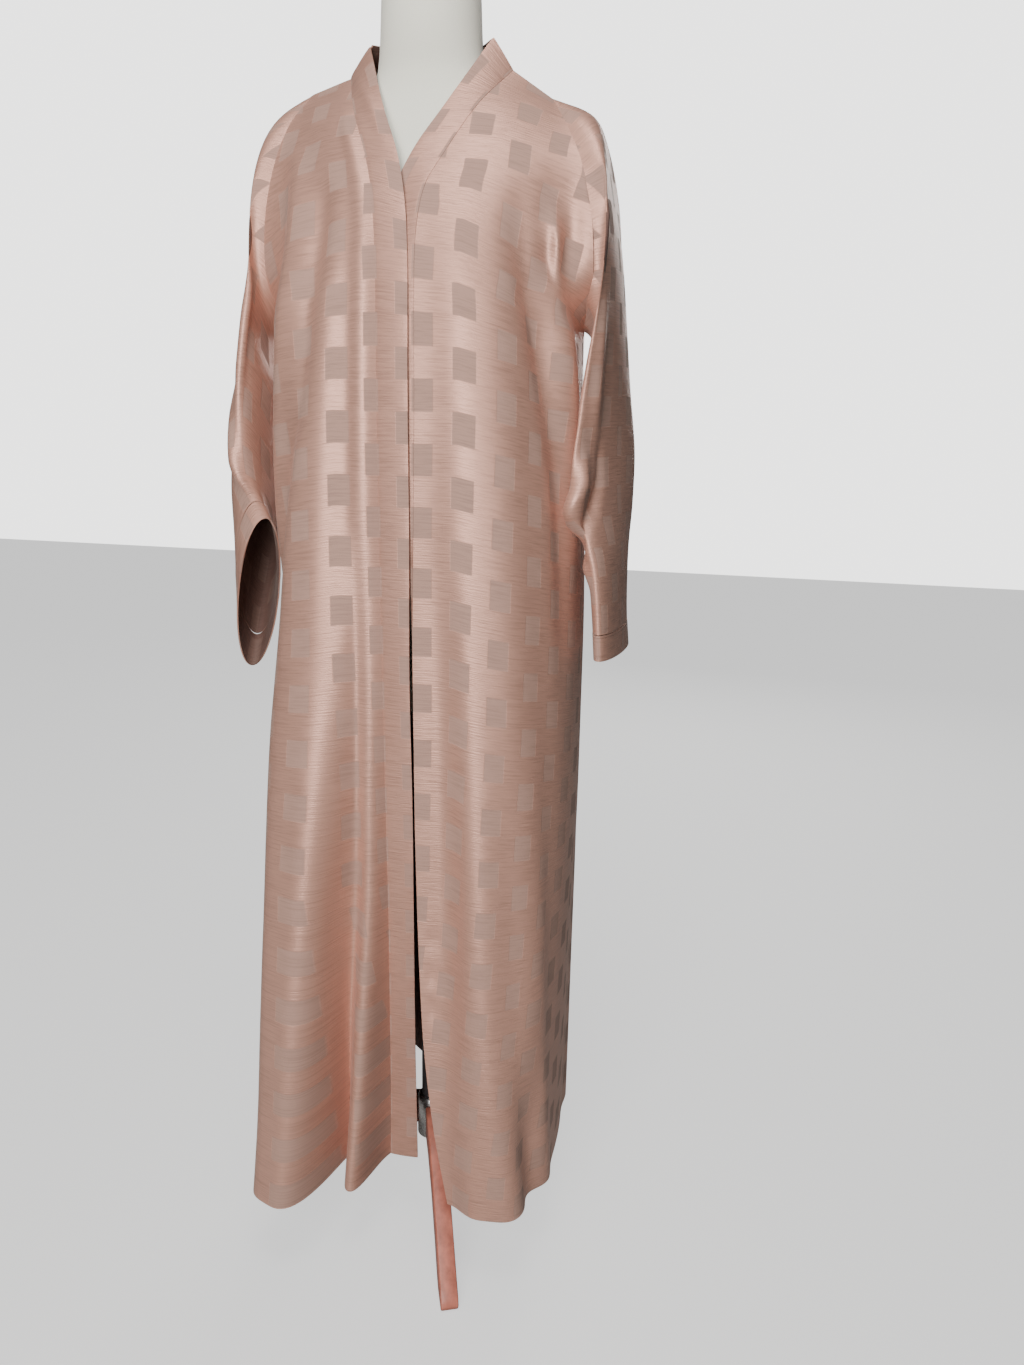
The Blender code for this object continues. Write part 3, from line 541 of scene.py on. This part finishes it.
def strip(seam, edge, columns, puff):
    """Grid of a folded strip from its seam to its free edge, puffed a little between."""
    across = np.linspace(0, 1, columns + 1)
    grid = seam[:, None] + (edge - seam)[:, None] * across[None, :, None]
    bulge = puff * np.sin(np.pi * across) ** 0.6
    grid = grid + surface_normals(grid) * bulge[None, :, None]
    width = np.linalg.norm(edge - seam, axis=1)[:, None] * across[None]
    steps = np.concatenate([[0], np.cumsum(np.linalg.norm(np.diff(edge, axis=0), axis=1))])
    return grid, np.stack([width, np.repeat(steps[:, None], columns + 1, axis=1)], axis=2)


def front_band(name, tab, front, puff, creases, flip, outer):
    knots, rows = levels(tab, "seam")
    edge = ease(line_at(tab, "edge", knots, rows))
    seam = stand_off(front[:, 0], front[:, 4], edge, BAND_CLOTH, 0.0002)
    grid, flat = strip(seam, edge, BAND_COLUMNS, puff)
    grid = creased(grid, flat[..., 0], creases, 1 if puff > 0 else -1)
    weave = np.stack([flat[..., 0] + 0.0095, np.repeat(rows[:, None], BAND_COLUMNS + 1, 1)], axis=2)
    piece = sheet_piece(name, [(grid, weave, False, flip)], BAND_CLOTH, outer, satin_inside_painted_shade)
    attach(piece, "root")
    return piece


# The band's ground is painted a little darker than the fronts' same satin: painted shade.
band_satin = jacquard_satin("band_satin", (0.56, 0.308, 0.234), BLOCKS)
BAND_RIGHT_CREASES = [
    [(0.004, 1.56, 0.0, 0.006), (0.020, 1.50, 0.002, 0.007), (0.030, 1.44, 0.0, 0.006)],
]
band_right = front_band("band_right_strip", FRONT_RIGHT, right, 0.0012, BAND_RIGHT_CREASES,
                        False, band_satin)
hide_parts("band_right")


# --------------------------------------------------------- front, wearer's left
# The other front, cut the same. It hangs smoother, in one broad round fold, and is
# dragged in at the armpit.
FRONT_LEFT = table(FRONT_COLS, [
    (0.068, -0.150, 0.110, 0.088, -0.118, 0.110, 0.192, 0.000, 0.110, 0.80, 1.00),
    (0.045, -0.146, 0.235, 0.064, -0.113, 0.235, 0.194, 0.000, 0.235, 0.80, 1.00),
    (0.030, -0.143, 0.381, 0.044, -0.108, 0.381, 0.196, 0.000, 0.381, 0.80, 1.00),
    (0.024, -0.142, 0.545, 0.032, -0.105, 0.545, 0.199, 0.000, 0.545, 0.78, 1.00),
    (0.022, -0.144, 0.690, 0.026, -0.107, 0.690, 0.201, 0.000, 0.690, 0.76, 1.00),
    (0.022, -0.148, 0.870, 0.018, -0.112, 0.870, 0.201, 0.000, 0.870, 0.74, 1.00),
    (0.025, -0.153, 1.064, -0.012, -0.148, 1.064, 0.196, 0.000, 1.064, 0.72, 1.00),
    (0.027, -0.155, 1.180, -0.010, -0.150, 1.180, 0.190, 0.000, 1.180, 0.68, 1.00),
    (0.026, -0.151, 1.290, -0.012, -0.147, 1.285, 0.189, -0.001, UNDERARM_Z, 0.66, 1.00),
    (0.024, -0.140, 1.345, -0.013, -0.136, 1.338, 0.209, -0.060, 1.310, 0.60, 0.50),
    (0.026, -0.121, 1.396, -0.009, -0.119, 1.390, 0.206, -0.068, 1.375, 0.52, 0.40),
    (0.044, -0.100, 1.436, 0.007, -0.103, 1.436, 0.192, -0.060, 1.430, 0.45, 0.35),
    (0.070, -0.062, 1.492, 0.036, -0.067, 1.494, 0.169, -0.034, 1.476, 0.38, 0.35),
    (0.098, -0.004, 1.544, 0.0725, -0.002, 1.578, 0.145, -0.002, 1.513, 0.33, 0.50),
])
FOLDS_LEFT = {
    "lobe": table(FOLD_COLS, [
        (0.11, 0.060, 0.022, 0.060),
        (0.42, 0.098, 0.026, 0.075),
        (0.84, 0.090, 0.014, 0.075),
        (1.28, 0.070, 0.006, 0.060),
        (1.42, 0.060, 0.000, 0.060),
    ]),
    "dip": table(FOLD_COLS, [
        (0.30, 0.036, 0.000, 0.030),
        (0.57, 0.044, -0.007, 0.028),
        (0.78, 0.040, -0.007, 0.026),
        (1.02, 0.036, 0.000, 0.026),
    ]),
    "armpit": table(FOLD_COLS, [
        (1.20, 0.165, 0.000, 0.030),
        (1.29, 0.165, -0.009, 0.034),
        (1.34, 0.160, -0.012, 0.034),
        (1.42, 0.150, 0.000, 0.034),
    ]),
}

LEFT_CREASES = [
    [(0.100, 1.400, 0.000, 0.016), (0.112, 1.351, 0.005, 0.016), (0.130, 1.295, 0.009, 0.017),
     (0.143, 1.254, 0.011, 0.018), (0.154, 1.211, 0.011, 0.018), (0.164, 1.168, 0.009, 0.018),
     (0.175, 1.124, 0.008, 0.018), (0.186, 1.066, 0.007, 0.018), (0.196, 0.950, 0.005, 0.020),
     (0.200, 0.800, 0.000, 0.020)],
    [(0.145, 1.360, 0.000, 0.015), (0.165, 1.295, -0.011, 0.018), (0.185, 1.240, -0.015, 0.022),
     (0.200, 1.170, -0.014, 0.024), (0.215, 1.080, -0.008, 0.024), (0.230, 0.950, 0.000, 0.024)],
    [(0.134, 1.382, 0.000, 0.010), (0.143, 1.369, -0.009, 0.011), (0.150, 1.360, -0.016, 0.012),
     (0.156, 1.345, -0.014, 0.011), (0.163, 1.325, -0.005, 0.010), (0.170, 1.310, 0.000, 0.010)],
    [(0.138, 1.350, 0.000, 0.006), (0.147, 1.336, 0.005, 0.006), (0.154, 1.318, 0.004, 0.006),
     (0.160, 1.300, 0.000, 0.006)],
    [(0.004, 0.500, 0.000, 0.008), (0.016, 0.503, 0.004, 0.009), (0.034, 0.512, 0.000, 0.010)],
    [(0.004, 0.450, 0.000, 0.008), (0.014, 0.452, 0.005, 0.009), (0.030, 0.462, 0.000, 0.010)],
    [(0.004, 0.400, 0.000, 0.008), (0.013, 0.402, 0.005, 0.009), (0.028, 0.412, 0.000, 0.010)],
    [(0.078, 0.900, 0.000, 0.020), (0.084, 0.600, -0.006, 0.022), (0.088, 0.110, -0.008, 0.024)],
    [(0.116, 0.800, 0.000, 0.018), (0.122, 0.500, 0.005, 0.020), (0.124, 0.110, 0.006, 0.022)],
    [(0.150, 0.850, 0.000, 0.020), (0.156, 0.500, -0.007, 0.022), (0.160, 0.110, -0.008, 0.024)],
]
left, left_flat = panel(FRONT_LEFT, "seam", FOLDS_LEFT, 1, FRONT_COLUMNS)
left = creased(left, left_flat[..., 0], LEFT_CREASES, -1)
LEFT_COLUMNS = [
    # height, then the reach of the first five columns of blocks
    (1.54, -0.060, -0.020, 0.025, 0.070, 0.115), (1.48, -0.030, 0.0159, 0.061, 0.100, 0.138),
    (1.42, -0.001, 0.0441, 0.091, 0.131, 0.168), (1.38, 0.010, 0.054, 0.102, 0.140, 0.175),
    (1.30, 0.009, 0.056, 0.103, 0.141, 0.175), (1.10, 0.009, 0.0575, 0.1035, 0.1405, 0.1755),
    (0.95, 0.0095, 0.059, 0.102, 0.144, 0.181), (0.80, 0.009, 0.0576, 0.100, 0.140, 0.1765),
    (0.61, 0.006, 0.050, 0.094, 0.130, 0.163), (0.50, -0.003, 0.043, 0.087, 0.1245, 0.150),
    (0.40, -0.016, 0.030, 0.0769, 0.117, 0.139), (0.26, -0.037, 0.009, 0.0556, 0.098, 0.122),
    (0.12, -0.070, -0.025, 0.0218, 0.066, 0.090)]
LEFT_SINK = [(1.54, 0.24), (1.15, 0.24), (0.70, 0.17), (0.55, 0.05), (0.45, 0.0), (0.11, 0.0)]
left_weave = on_grain(left_flat, left[..., 2], LEFT_COLUMNS, LEFT_SINK)
satin_left = jacquard_satin("satin_left", ROSE, BLOCKS)
front_left = sheet_piece("front_left_cloth", [(left, left_weave, False, False)], CLOTH,
                         satin_left, satin_inside_painted_shade)
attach(front_left, "root")
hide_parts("front_left")


# ----------------------------------------------------- front band, wearer's left
# The matching folded strip. It laps under the right one down to the hips and turns
# under itself below them.
band_left = front_band("band_left_strip", FRONT_LEFT, left, -0.0010, [], True, band_satin)
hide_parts("band_left")


# ------------------------------------------------------------------------- back
# One width of satin from hem to neck, on the fold at the centre back, sewn to the
# fronts at the sides and shoulders. It hangs in soft uneven folds.
BACK = table("centre_x centre_y centre_z side_x side_y side_z full turn", [
    (0.000, 0.196, 0.110, 0.192, 0.000, 0.110, 0.78, 1.00),
    (0.000, 0.192, 0.235, 0.194, 0.000, 0.235, 0.78, 1.00),
    (0.000, 0.187, 0.381, 0.196, 0.000, 0.381, 0.78, 1.00),
    (0.000, 0.181, 0.545, 0.199, 0.000, 0.545, 0.78, 1.00),
    (0.000, 0.175, 0.690, 0.201, 0.000, 0.690, 0.76, 1.00),
    (0.000, 0.166, 0.870, 0.201, 0.000, 0.870, 0.74, 1.00),
    (0.000, 0.156, 1.064, 0.196, 0.000, 1.064, 0.72, 1.00),
    (0.000, 0.149, 1.180, 0.190, 0.000, 1.180, 0.68, 1.00),
    (0.000, 0.141, 1.290, 0.189, 0.001, UNDERARM_Z, 0.66, 1.00),
    (0.000, 0.131, 1.365, 0.205, 0.058, 1.318, 0.60, 0.50),
    (0.000, 0.116, 1.440, 0.201, 0.067, 1.385, 0.52, 0.40),
    (0.000, 0.090, 1.512, 0.188, 0.060, 1.440, 0.45, 0.35),
    (0.000, 0.068, 1.553, 0.176, 0.044, 1.468, 0.40, 0.35),
    (0.054, 0.056, 1.552, 0.163, 0.026, 1.492, 0.35, 0.35),
    (0.098, 0.001, 1.544, 0.145, 0.002, 1.513, 0.33, 0.50),
])

FOLDS_BACK_RIGHT = {
    "centre": table(FOLD_COLS, [
        (0.11, 0.050, -0.030, 0.046),
        (0.60, 0.044, -0.016, 0.044),
        (1.10, 0.040, 0.000, 0.040),
    ]),
    "outer": table(FOLD_COLS, [
        (0.11, 0.130, 0.020, 0.050),
        (0.60, 0.118, 0.010, 0.050),
        (1.05, 0.110, 0.000, 0.050),
    ]),
    "flank": table(FOLD_COLS, [
        (0.11, 0.205, -0.024, 0.044),
        (0.55, 0.200, -0.012, 0.044),
        (0.95, 0.190, 0.000, 0.044),
    ]),
}
FOLDS_BACK_LEFT = {
    "centre": table(FOLD_COLS, [
        (0.11, 0.040, 0.018, 0.048),
        (0.60, 0.040, 0.010, 0.048),
        (1.15, 0.040, 0.000, 0.048),
    ]),
    "middle": table(FOLD_COLS, [
        (0.11, 0.104, -0.034, 0.044),
        (0.60, 0.098, -0.018, 0.044),
        (1.15, 0.092, 0.000, 0.044),
    ]),
    "flank": table(FOLD_COLS, [
        (0.11, 0.190, 0.016, 0.050),
        (0.50, 0.186, 0.012, 0.050),
        (0.95, 0.180, 0.000, 0.050),
    ]),
}

BACK_COLUMNS = 64


def other_half(back, front):
    """The back's table mirrored, with its side and armhole carried to the other front's."""
    half = dict(back)
    half["centre_x"] = -back["centre_x"]
    above = np.maximum(back["side_z"] - UNDERARM_Z, 0)
    lift = (front["side_z"][-1] - UNDERARM_Z) / (back["side_z"][-1] - UNDERARM_Z) - 1
    half["side_z"] = back["side_z"] + above * lift
    half["side_x"] = np.interp(half["side_z"], front["side_z"], front["side_x"])
    return half


BACK_CREASES_RIGHT = [
    [(0.050, 1.430, 0.000, 0.018), (0.066, 1.330, 0.006, 0.020), (0.084, 1.220, 0.007, 0.021),
     (0.102, 1.080, 0.006, 0.022), (0.120, 0.900, 0.000, 0.022)],
    [(0.085, 1.450, 0.000, 0.016), (0.120, 1.385, -0.007, 0.018), (0.150, 1.310, -0.010, 0.020),
     (0.170, 1.220, -0.008, 0.022), (0.185, 1.080, 0.000, 0.022)],
    [(0.200, 1.180, 0.000, 0.020), (0.215, 1.020, 0.006, 0.022), (0.225, 0.800, 0.005, 0.022),
     (0.230, 0.560, 0.000, 0.022)],
    [(0.060, 0.820, 0.000, 0.022), (0.054, 0.640, 0.006, 0.024), (0.050, 0.420, 0.007, 0.024),
     (0.048, 0.110, 0.006, 0.024)],
]
BACK_CREASES_LEFT = [
    [(0.040, 1.440, 0.000, 0.018), (0.052, 1.310, 0.005, 0.020), (0.072, 1.190, 0.007, 0.021),
     (0.098, 1.040, 0.006, 0.022), (0.112, 0.840, 0.000, 0.022)],
    [(0.100, 1.430, 0.000, 0.016), (0.136, 1.360, -0.008, 0.018), (0.160, 1.280, -0.010, 0.020),
     (0.176, 1.170, -0.007, 0.022), (0.190, 1.000, 0.000, 0.022)],
    [(0.140, 1.000, 0.000, 0.020), (0.146, 0.840, -0.006, 0.022), (0.150, 0.640, -0.007, 0.022),
     (0.152, 0.400, 0.000, 0.022)],
    [(0.100, 0.700, 0.000, 0.020), (0.092, 0.520, 0.006, 0.022), (0.088, 0.300, 0.007, 0.024),
     (0.086, 0.110, 0.006, 0.024)],
]
back_r, back_r_flat = panel(other_half(BACK, FRONT_RIGHT), "centre", FOLDS_BACK_RIGHT, 1,
                            BACK_COLUMNS)
back_l, back_l_flat = panel(BACK, "centre", FOLDS_BACK_LEFT, -1, BACK_COLUMNS)
back_r = creased(back_r, back_r_flat[..., 0], BACK_CREASES_RIGHT, -1)
back_l = creased(back_l, back_l_flat[..., 0], BACK_CREASES_LEFT, 1)
back_r[:, 0] = back_l[:, 0] = (back_r[:, 0] + back_l[:, 0]) / 2
back_r_flat = back_r_flat * (-1, 1)
satin_back = jacquard_satin("satin_back", ROSE, BLOCKS)
back = sheet_piece("back_cloth", [(back_r, back_r_flat, False, False),
                                  (back_l, back_l_flat, False, True)], CLOTH,
                   satin_back, satin_inside_painted_shade)
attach(back, "root")
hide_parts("back")


# -------------------------------------------------------------------- neck band
# The band goes on round the back of the neck and stands up against it.
def neck_strip():
    knots, rows = levels(BACK, "centre")
    half = line_at(BACK, "centre", knots, rows[:-NECK_ROWS - 2:-1])
    seam = np.concatenate([half * (-1, 1, 1), half[-2::-1]])
    edge = seam * (0.745, 0.93, 1) + (0, 0, 0.036)
    return strip(seam - (0, 0, 0.0008), edge, 10, 0.0006)


neck, neck_flat = neck_strip()
band_neck = sheet_piece("band_neck_strip", [(neck, neck_flat[..., ::-1], False, False)],
                        BAND_CLOTH, band_satin, satin_inside_painted_shade)
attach(band_neck, "root")
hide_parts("band_neck")


# ---------------------------------------------------------------------- sleeves
# Each sleeve is one piece, closed by a seam under the arm and set into the armhole.
# They hang empty, flattened front to back, and break at the elbow.
SLEEVE_ROWS = 130
CUFF_WIDTH = 0.033
SLEEVE_COLS = "mid_x mid_y mid_z out_x out_y out_z fore_x fore_y fore_z belly"
SLEEVE_RIGHT = table(SLEEVE_COLS, [
    (-0.1900, 0.000, 1.3845, 0.0090, 0.000, 0.1275, 0.000, -0.065, 0.000, -0.012),
    (-0.2020, 0.000, 1.3660, 0.0020, 0.000, 0.1190, 0.000, -0.070, 0.000, -0.003),
    (-0.2010, -0.002, 1.3175, 0.0020, 0.000, 0.1000, -0.002, -0.075, 0.000, -0.002),
    (-0.2050, -0.004, 1.2600, -0.0090, 0.000, 0.0720, -0.002, -0.080, 0.000, -0.003),
    (-0.2150, -0.010, 1.1800, -0.0160, 0.000, 0.0430, 0.000, -0.082, 0.004, 0.000),
    (-0.2230, -0.018, 1.1000, -0.0220, -0.004, 0.0200, 0.006, -0.080, 0.022, 0.000),
    (-0.2300, -0.027, 1.0350, -0.0270, -0.006, 0.0000, 0.014, -0.070, 0.050, 0.000),
    (-0.2320, -0.036, 0.9750, -0.0250, -0.010, -0.0050, 0.024, -0.055, 0.088, 0.000),
    (-0.2275, -0.044, 0.9240, -0.0225, -0.014, 0.0000, 0.031, -0.034, 0.106, 0.000),
])
SLEEVE_LEFT = table(SLEEVE_COLS, [
    (0.1885, 0.000, 1.3800, -0.0105, 0.000, 0.1220, 0.002, -0.069, -0.002, 0.026),
    (0.2020, 0.000, 1.3675, -0.0015, 0.000, 0.1245, 0.002, -0.073, -0.003, 0.020),
    (0.2080, 0.000, 1.3200, 0.0080, 0.000, 0.1050, 0.000, -0.080, 0.000, 0.014),
    (0.2150, 0.000, 1.2600, 0.0170, 0.000, 0.0720, -0.003, -0.080, 0.000, 0.003),
    (0.2185, 0.003, 1.1750, 0.0190, 0.005, 0.0450, -0.014, -0.081, 0.000, 0.000),
    (0.2220, 0.000, 1.1000, 0.0190, 0.010, 0.0200, -0.024, -0.080, 0.005, 0.000),
    (0.2255, 0.000, 1.0450, 0.0190, 0.005, 0.0100, -0.020, -0.078, 0.000, 0.000),
    (0.2325, 0.000, 0.9950, 0.0180, 0.005, 0.0050, -0.008, -0.077, 0.000, 0.000),
    (0.2370, 0.000, 0.9300, 0.0165, 0.004, 0.0000, -0.005, -0.074, 0.000, 0.000),
    (0.2420, 0.000, 0.8720, 0.0150, 0.004, 0.0000, -0.007, -0.070, 0.000, 0.000),
])



def armhole(front, back, column):
    """Closed loop down the front's armhole and up the back's, along one column of both."""
    down = front[:-YOKE_ROWS - 2:-1, column]
    up = back[-YOKE_ROWS:-1, column]
    return np.concatenate([down, up])


def sleeve_stations(tab, loop, inside):
    """The armhole and every ring of a sleeve's table, with the mean length down to each."""
    top, bottom = loop[0, 2], loop[YOKE_ROWS, 2]
    turn = np.arccos(np.clip((2 * loop[:, 2] - top - bottom) / (top - bottom), -1, 1))[:, None]
    turn[YOKE_ROWS + 1:] *= -1
    rings = []
    for i in range(len(tab["belly"])):
        mid, out, fore = (points(tab, name)[i] for name in ("mid", "out", "fore"))
        one = mid + np.cos(turn) * out + np.sin(turn) * fore
        one[:, 0] += tab["belly"][i] * np.sin(turn[:, 0]) ** 2
        rings.append(one)
    stations = np.array([stand_off(loop, inside, rings[0], CLOTH, -0.0003)] + rings)
    steps = np.linalg.norm(np.diff(stations, axis=0), axis=2).mean(axis=1)
    return np.concatenate([[0.0], np.cumsum(steps)]), stations


def sleeve_flat(grid):
    """Places on the flat cloth: round from the top, and up from the wrist."""
    step = np.linalg.norm(np.roll(grid, -1, axis=1) - grid, axis=2).mean(axis=0)
    around = np.concatenate([[0], np.cumsum(step)])
    fall = np.linalg.norm(np.diff(grid, axis=0), axis=2)
    up = np.concatenate([np.cumsum(fall[::-1], axis=0)[::-1], np.zeros((1, fall.shape[1]))])
    up = np.concatenate([up, up[:, :1]], axis=1)
    return np.stack([np.repeat(around[None], len(grid), axis=0), up], axis=2)


SLEEVE_RIGHT_CREASES = [
    [(0.120, 1.340, 0.000, 0.014), (0.115, 1.280, -0.006, 0.014), (0.110, 1.210, -0.006, 0.014),
     (0.100, 1.140, 0.000, 0.014)],
    [(0.060, 1.220, 0.000, 0.012), (0.075, 1.160, -0.006, 0.014), (0.095, 1.100, -0.008, 0.014),
     (0.115, 1.060, 0.000, 0.012)],
]
SLEEVE_LEFT_CREASES = [
    [(0.215, 1.260, 0.000, 0.034), (0.215, 1.200, 0.010, 0.036), (0.215, 1.120, 0.012, 0.038),
     (0.205, 1.060, 0.010, 0.036), (0.200, 1.000, 0.000, 0.034)],
    [(0.056, 1.140, 0.000, 0.008), (0.055, 1.089, 0.006, 0.008), (0.072, 1.061, 0.010, 0.009),
     (0.100, 1.038, 0.011, 0.009), (0.150, 1.015, 0.007, 0.009), (0.176, 1.009, 0.000, 0.009)],
    [(0.085, 1.125, 0.000, 0.012), (0.100, 1.085, -0.013, 0.014), (0.130, 1.055, -0.016, 0.014),
     (0.160, 1.035, -0.011, 0.012), (0.190, 1.020, 0.000, 0.010)],
    [(0.140, 1.170, 0.000, 0.020), (0.158, 1.110, 0.010, 0.020), (0.166, 1.070, 0.007, 0.018),
     (0.172, 1.040, 0.000, 0.015)],
    [(0.165, 1.000, 0.000, 0.010), (0.155, 0.985, -0.007, 0.010), (0.140, 0.960, 0.000, 0.010)],
    [(0.086, 1.430, 0.000, 0.007), (0.091, 1.407, 0.004, 0.007), (0.115, 1.371, 0.005, 0.008),
     (0.137, 1.331, 0.005, 0.008), (0.150, 1.292, 0.004, 0.008), (0.156, 1.240, 0.000, 0.008)],
    [(0.100, 1.430, 0.000, 0.007), (0.108, 1.407, -0.005, 0.008), (0.131, 1.371, -0.006, 0.008),
     (0.152, 1.331, -0.006, 0.008), (0.166, 1.292, -0.004, 0.008), (0.170, 1.250, 0.000, 0.008)],
    [(0.075, 1.300, 0.000, 0.012), (0.080, 1.240, -0.005, 0.014), (0.075, 1.180, -0.006, 0.014),
     (0.065, 1.120, 0.000, 0.012)],
]
satin_sleeve = jacquard_satin("satin_sleeve", ROSE, BLOCKS)
# Its stitched line is painted darker: painted shade along the seam.
cuff_satin = jacquard_satin("cuff_satin", ROSE, BLOCKS, stitches=0.0295)
for hand, tab, front, rear, creases in (
        ("right", SLEEVE_RIGHT, right, back_r, SLEEVE_RIGHT_CREASES),
        ("left", SLEEVE_LEFT, left, back_l, SLEEVE_LEFT_CREASES)):
    loop = armhole(front, rear, -1)
    inside = armhole(front, rear, -8)
    knots, stations = sleeve_stations(tab, loop, inside)
    fold = knots[-1] - CUFF_WIDTH
    down = np.linspace(0, fold - 0.0006, SLEEVE_ROWS)
    rings = ease(np.array([curve(t, knots, stations) for t in down]), 20)
    flat = sleeve_flat(rings)
    side = 1 if hand == "right" else -1
    rings = creased(rings, flat[:, :-1, 0], creases, side, closed=True)
    name = "sleeve_" + hand
    sleeve = sheet_piece(name + "_cloth", [(rings, flat, True, hand == "right")], CLOTH,
                         satin_sleeve, satin_inside_painted_shade)
    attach(sleeve, "root")
    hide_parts(name)
    down = np.linspace(fold + 0.0004, knots[-1], 12)
    rings = np.array([curve(t, knots, stations) for t in down])
    name = "cuff_" + hand
    cuff = sheet_piece(name + "_hem", [(rings, sleeve_flat(rings), True, hand == "right")],
                       0.0019, cuff_satin, satin_inside_painted_shade)
    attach(cuff, "root")
    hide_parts(name)


# ------------------------------------------------------------------- dress form
# A limbless foam torso with a tight cover of pale cotton jersey, seamed down the
# front. Only its neck and upper chest show in the opening.
def solid_copy(node, name):
    """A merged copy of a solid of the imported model, ready to be worked on."""
    bpy.ops.object.select_all(action="DESELECT")
    copy = bpy.data.objects.new(name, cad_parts[node].data.copy())
    scene.collection.objects.link(copy)
    copy.data.materials.clear()
    copy.select_set(True)
    bpy.context.view_layer.objects.active = copy
    bpy.ops.object.mode_set(mode="EDIT")
    bpy.ops.mesh.select_all(action="SELECT")
    bpy.ops.mesh.remove_doubles(threshold=0.00005)
    bpy.ops.mesh.tris_convert_to_quads(face_threshold=0.6, shape_threshold=0.9)
    bpy.ops.object.mode_set(mode="OBJECT")
    return copy


def mottled(name, colour, spread, scale, roughness, bump=0.0002, stretch=(1, 1, 1), metallic=0.0):
    """A finish with fine uneven colour, gloss and relief; spread is how far it varies."""
    mat = bpy.data.materials.new(name)
    mat.use_nodes = True
    shader = mat.node_tree.nodes["Principled BSDF"]
    link = mat.node_tree.links.new
    where = chain(mat, "ShaderNodeTexCoord").outputs["Object"]
    grain_at = chain(mat, "ShaderNodeMapping", where, None, None, stretch).outputs[0]
    grain = chain(mat, "ShaderNodeTexNoise", grain_at, None, scale, 4.0, 0.6).outputs[0]
    tint = chain(mat, "ShaderNodeValToRGB", grain)
    tint.color_ramp.elements[0].position = 0.32
    tint.color_ramp.elements[1].position = 0.68
    tint.color_ramp.elements[0].color = (*(c * (1 - spread) for c in colour), 1)
    tint.color_ramp.elements[1].color = (*(min(c * (1 + spread), 1.0) for c in colour), 1)
    link(tint.outputs[0], shader.inputs["Base Color"])
    worn = chain(mat, "ShaderNodeMapRange", grain, 0.2, 0.8, roughness - 0.06, roughness + 0.08)
    link(worn.outputs[0], shader.inputs["Roughness"])
    shader.inputs["Metallic"].default_value = metallic
    raised = chain(mat, "ShaderNodeBump")
    raised.inputs["Strength"].default_value = 0.5
    raised.inputs["Distance"].default_value = bump
    link(grain, raised.inputs["Height"])
    link(raised.outputs[0], shader.inputs["Normal"])
    return mat


jersey = mottled("jersey_cover", (0.93, 0.92, 0.80), 0.05, 900.0, 0.88, 0.0003, (1.0, 1.0, 2.2))
jersey.node_tree.nodes["Principled BSDF"].inputs["Sheen Weight"].default_value = 0.25
form = solid_copy("form", "form_body")
form.data.materials.append(jersey)
soft = form.modifiers.new("Round", "SUBSURF")
soft.levels = 2
soft.render_levels = 2
form.data.shade_smooth()
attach(form, "root")
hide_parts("form")


# ------------------------------------------------- neck cap, pole, hub and legs
# A moulded cap closes the neck. The form stands on a painted steel tube, which drops
# into a turned steel hub. Three varnished boards with rounded edges are bolted to the
# hub and stand on their feet.
def eased(node, name, edge, mat):
    """A copy of a hard solid with its sharp edges rounded off."""
    piece = solid_copy(node, name)
    piece.data.materials.append(mat)
    rounded = piece.modifiers.new("Rounded", "BEVEL")
    rounded.width = edge
    rounded.segments = 3
    rounded.limit_method = "ANGLE"
    rounded.angle_limit = math.radians(38)
    bpy.ops.object.modifier_apply(modifier="Rounded")
    bpy.ops.object.shade_smooth_by_angle(angle=math.radians(35))
    piece.select_set(False)
    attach(piece, "root")
    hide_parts(node)
    return piece


cap_plastic = mottled("cap_plastic", (0.78, 0.76, 0.66), 0.04, 240.0, 0.48, 0.0001)
pole_paint = mottled("pole_paint", (0.095, 0.083, 0.088), 0.18, 420.0, 0.42, 0.0001,
                     (1, 1, 0.3), 0.3)
hub_steel = mottled("hub_steel", (0.72, 0.71, 0.70), 0.08, 60.0, 0.27, 0.00005, (1, 1, 14), 0.95)
leg_varnish = mottled("leg_varnish", (0.50, 0.165, 0.115), 0.25, 60.0, 0.36, 0.0002, (1, 1, 0.12))
eased("neck_cap", "neck_cap_moulding", 0.0012, cap_plastic)
eased("pole", "pole_tube", 0.0005, pole_paint)
eased("hub", "hub_collar", 0.0015, hub_steel)
for number in (1, 2, 3):
    eased("leg_%d" % number, "leg_%d_board" % number, 0.003, leg_varnish)
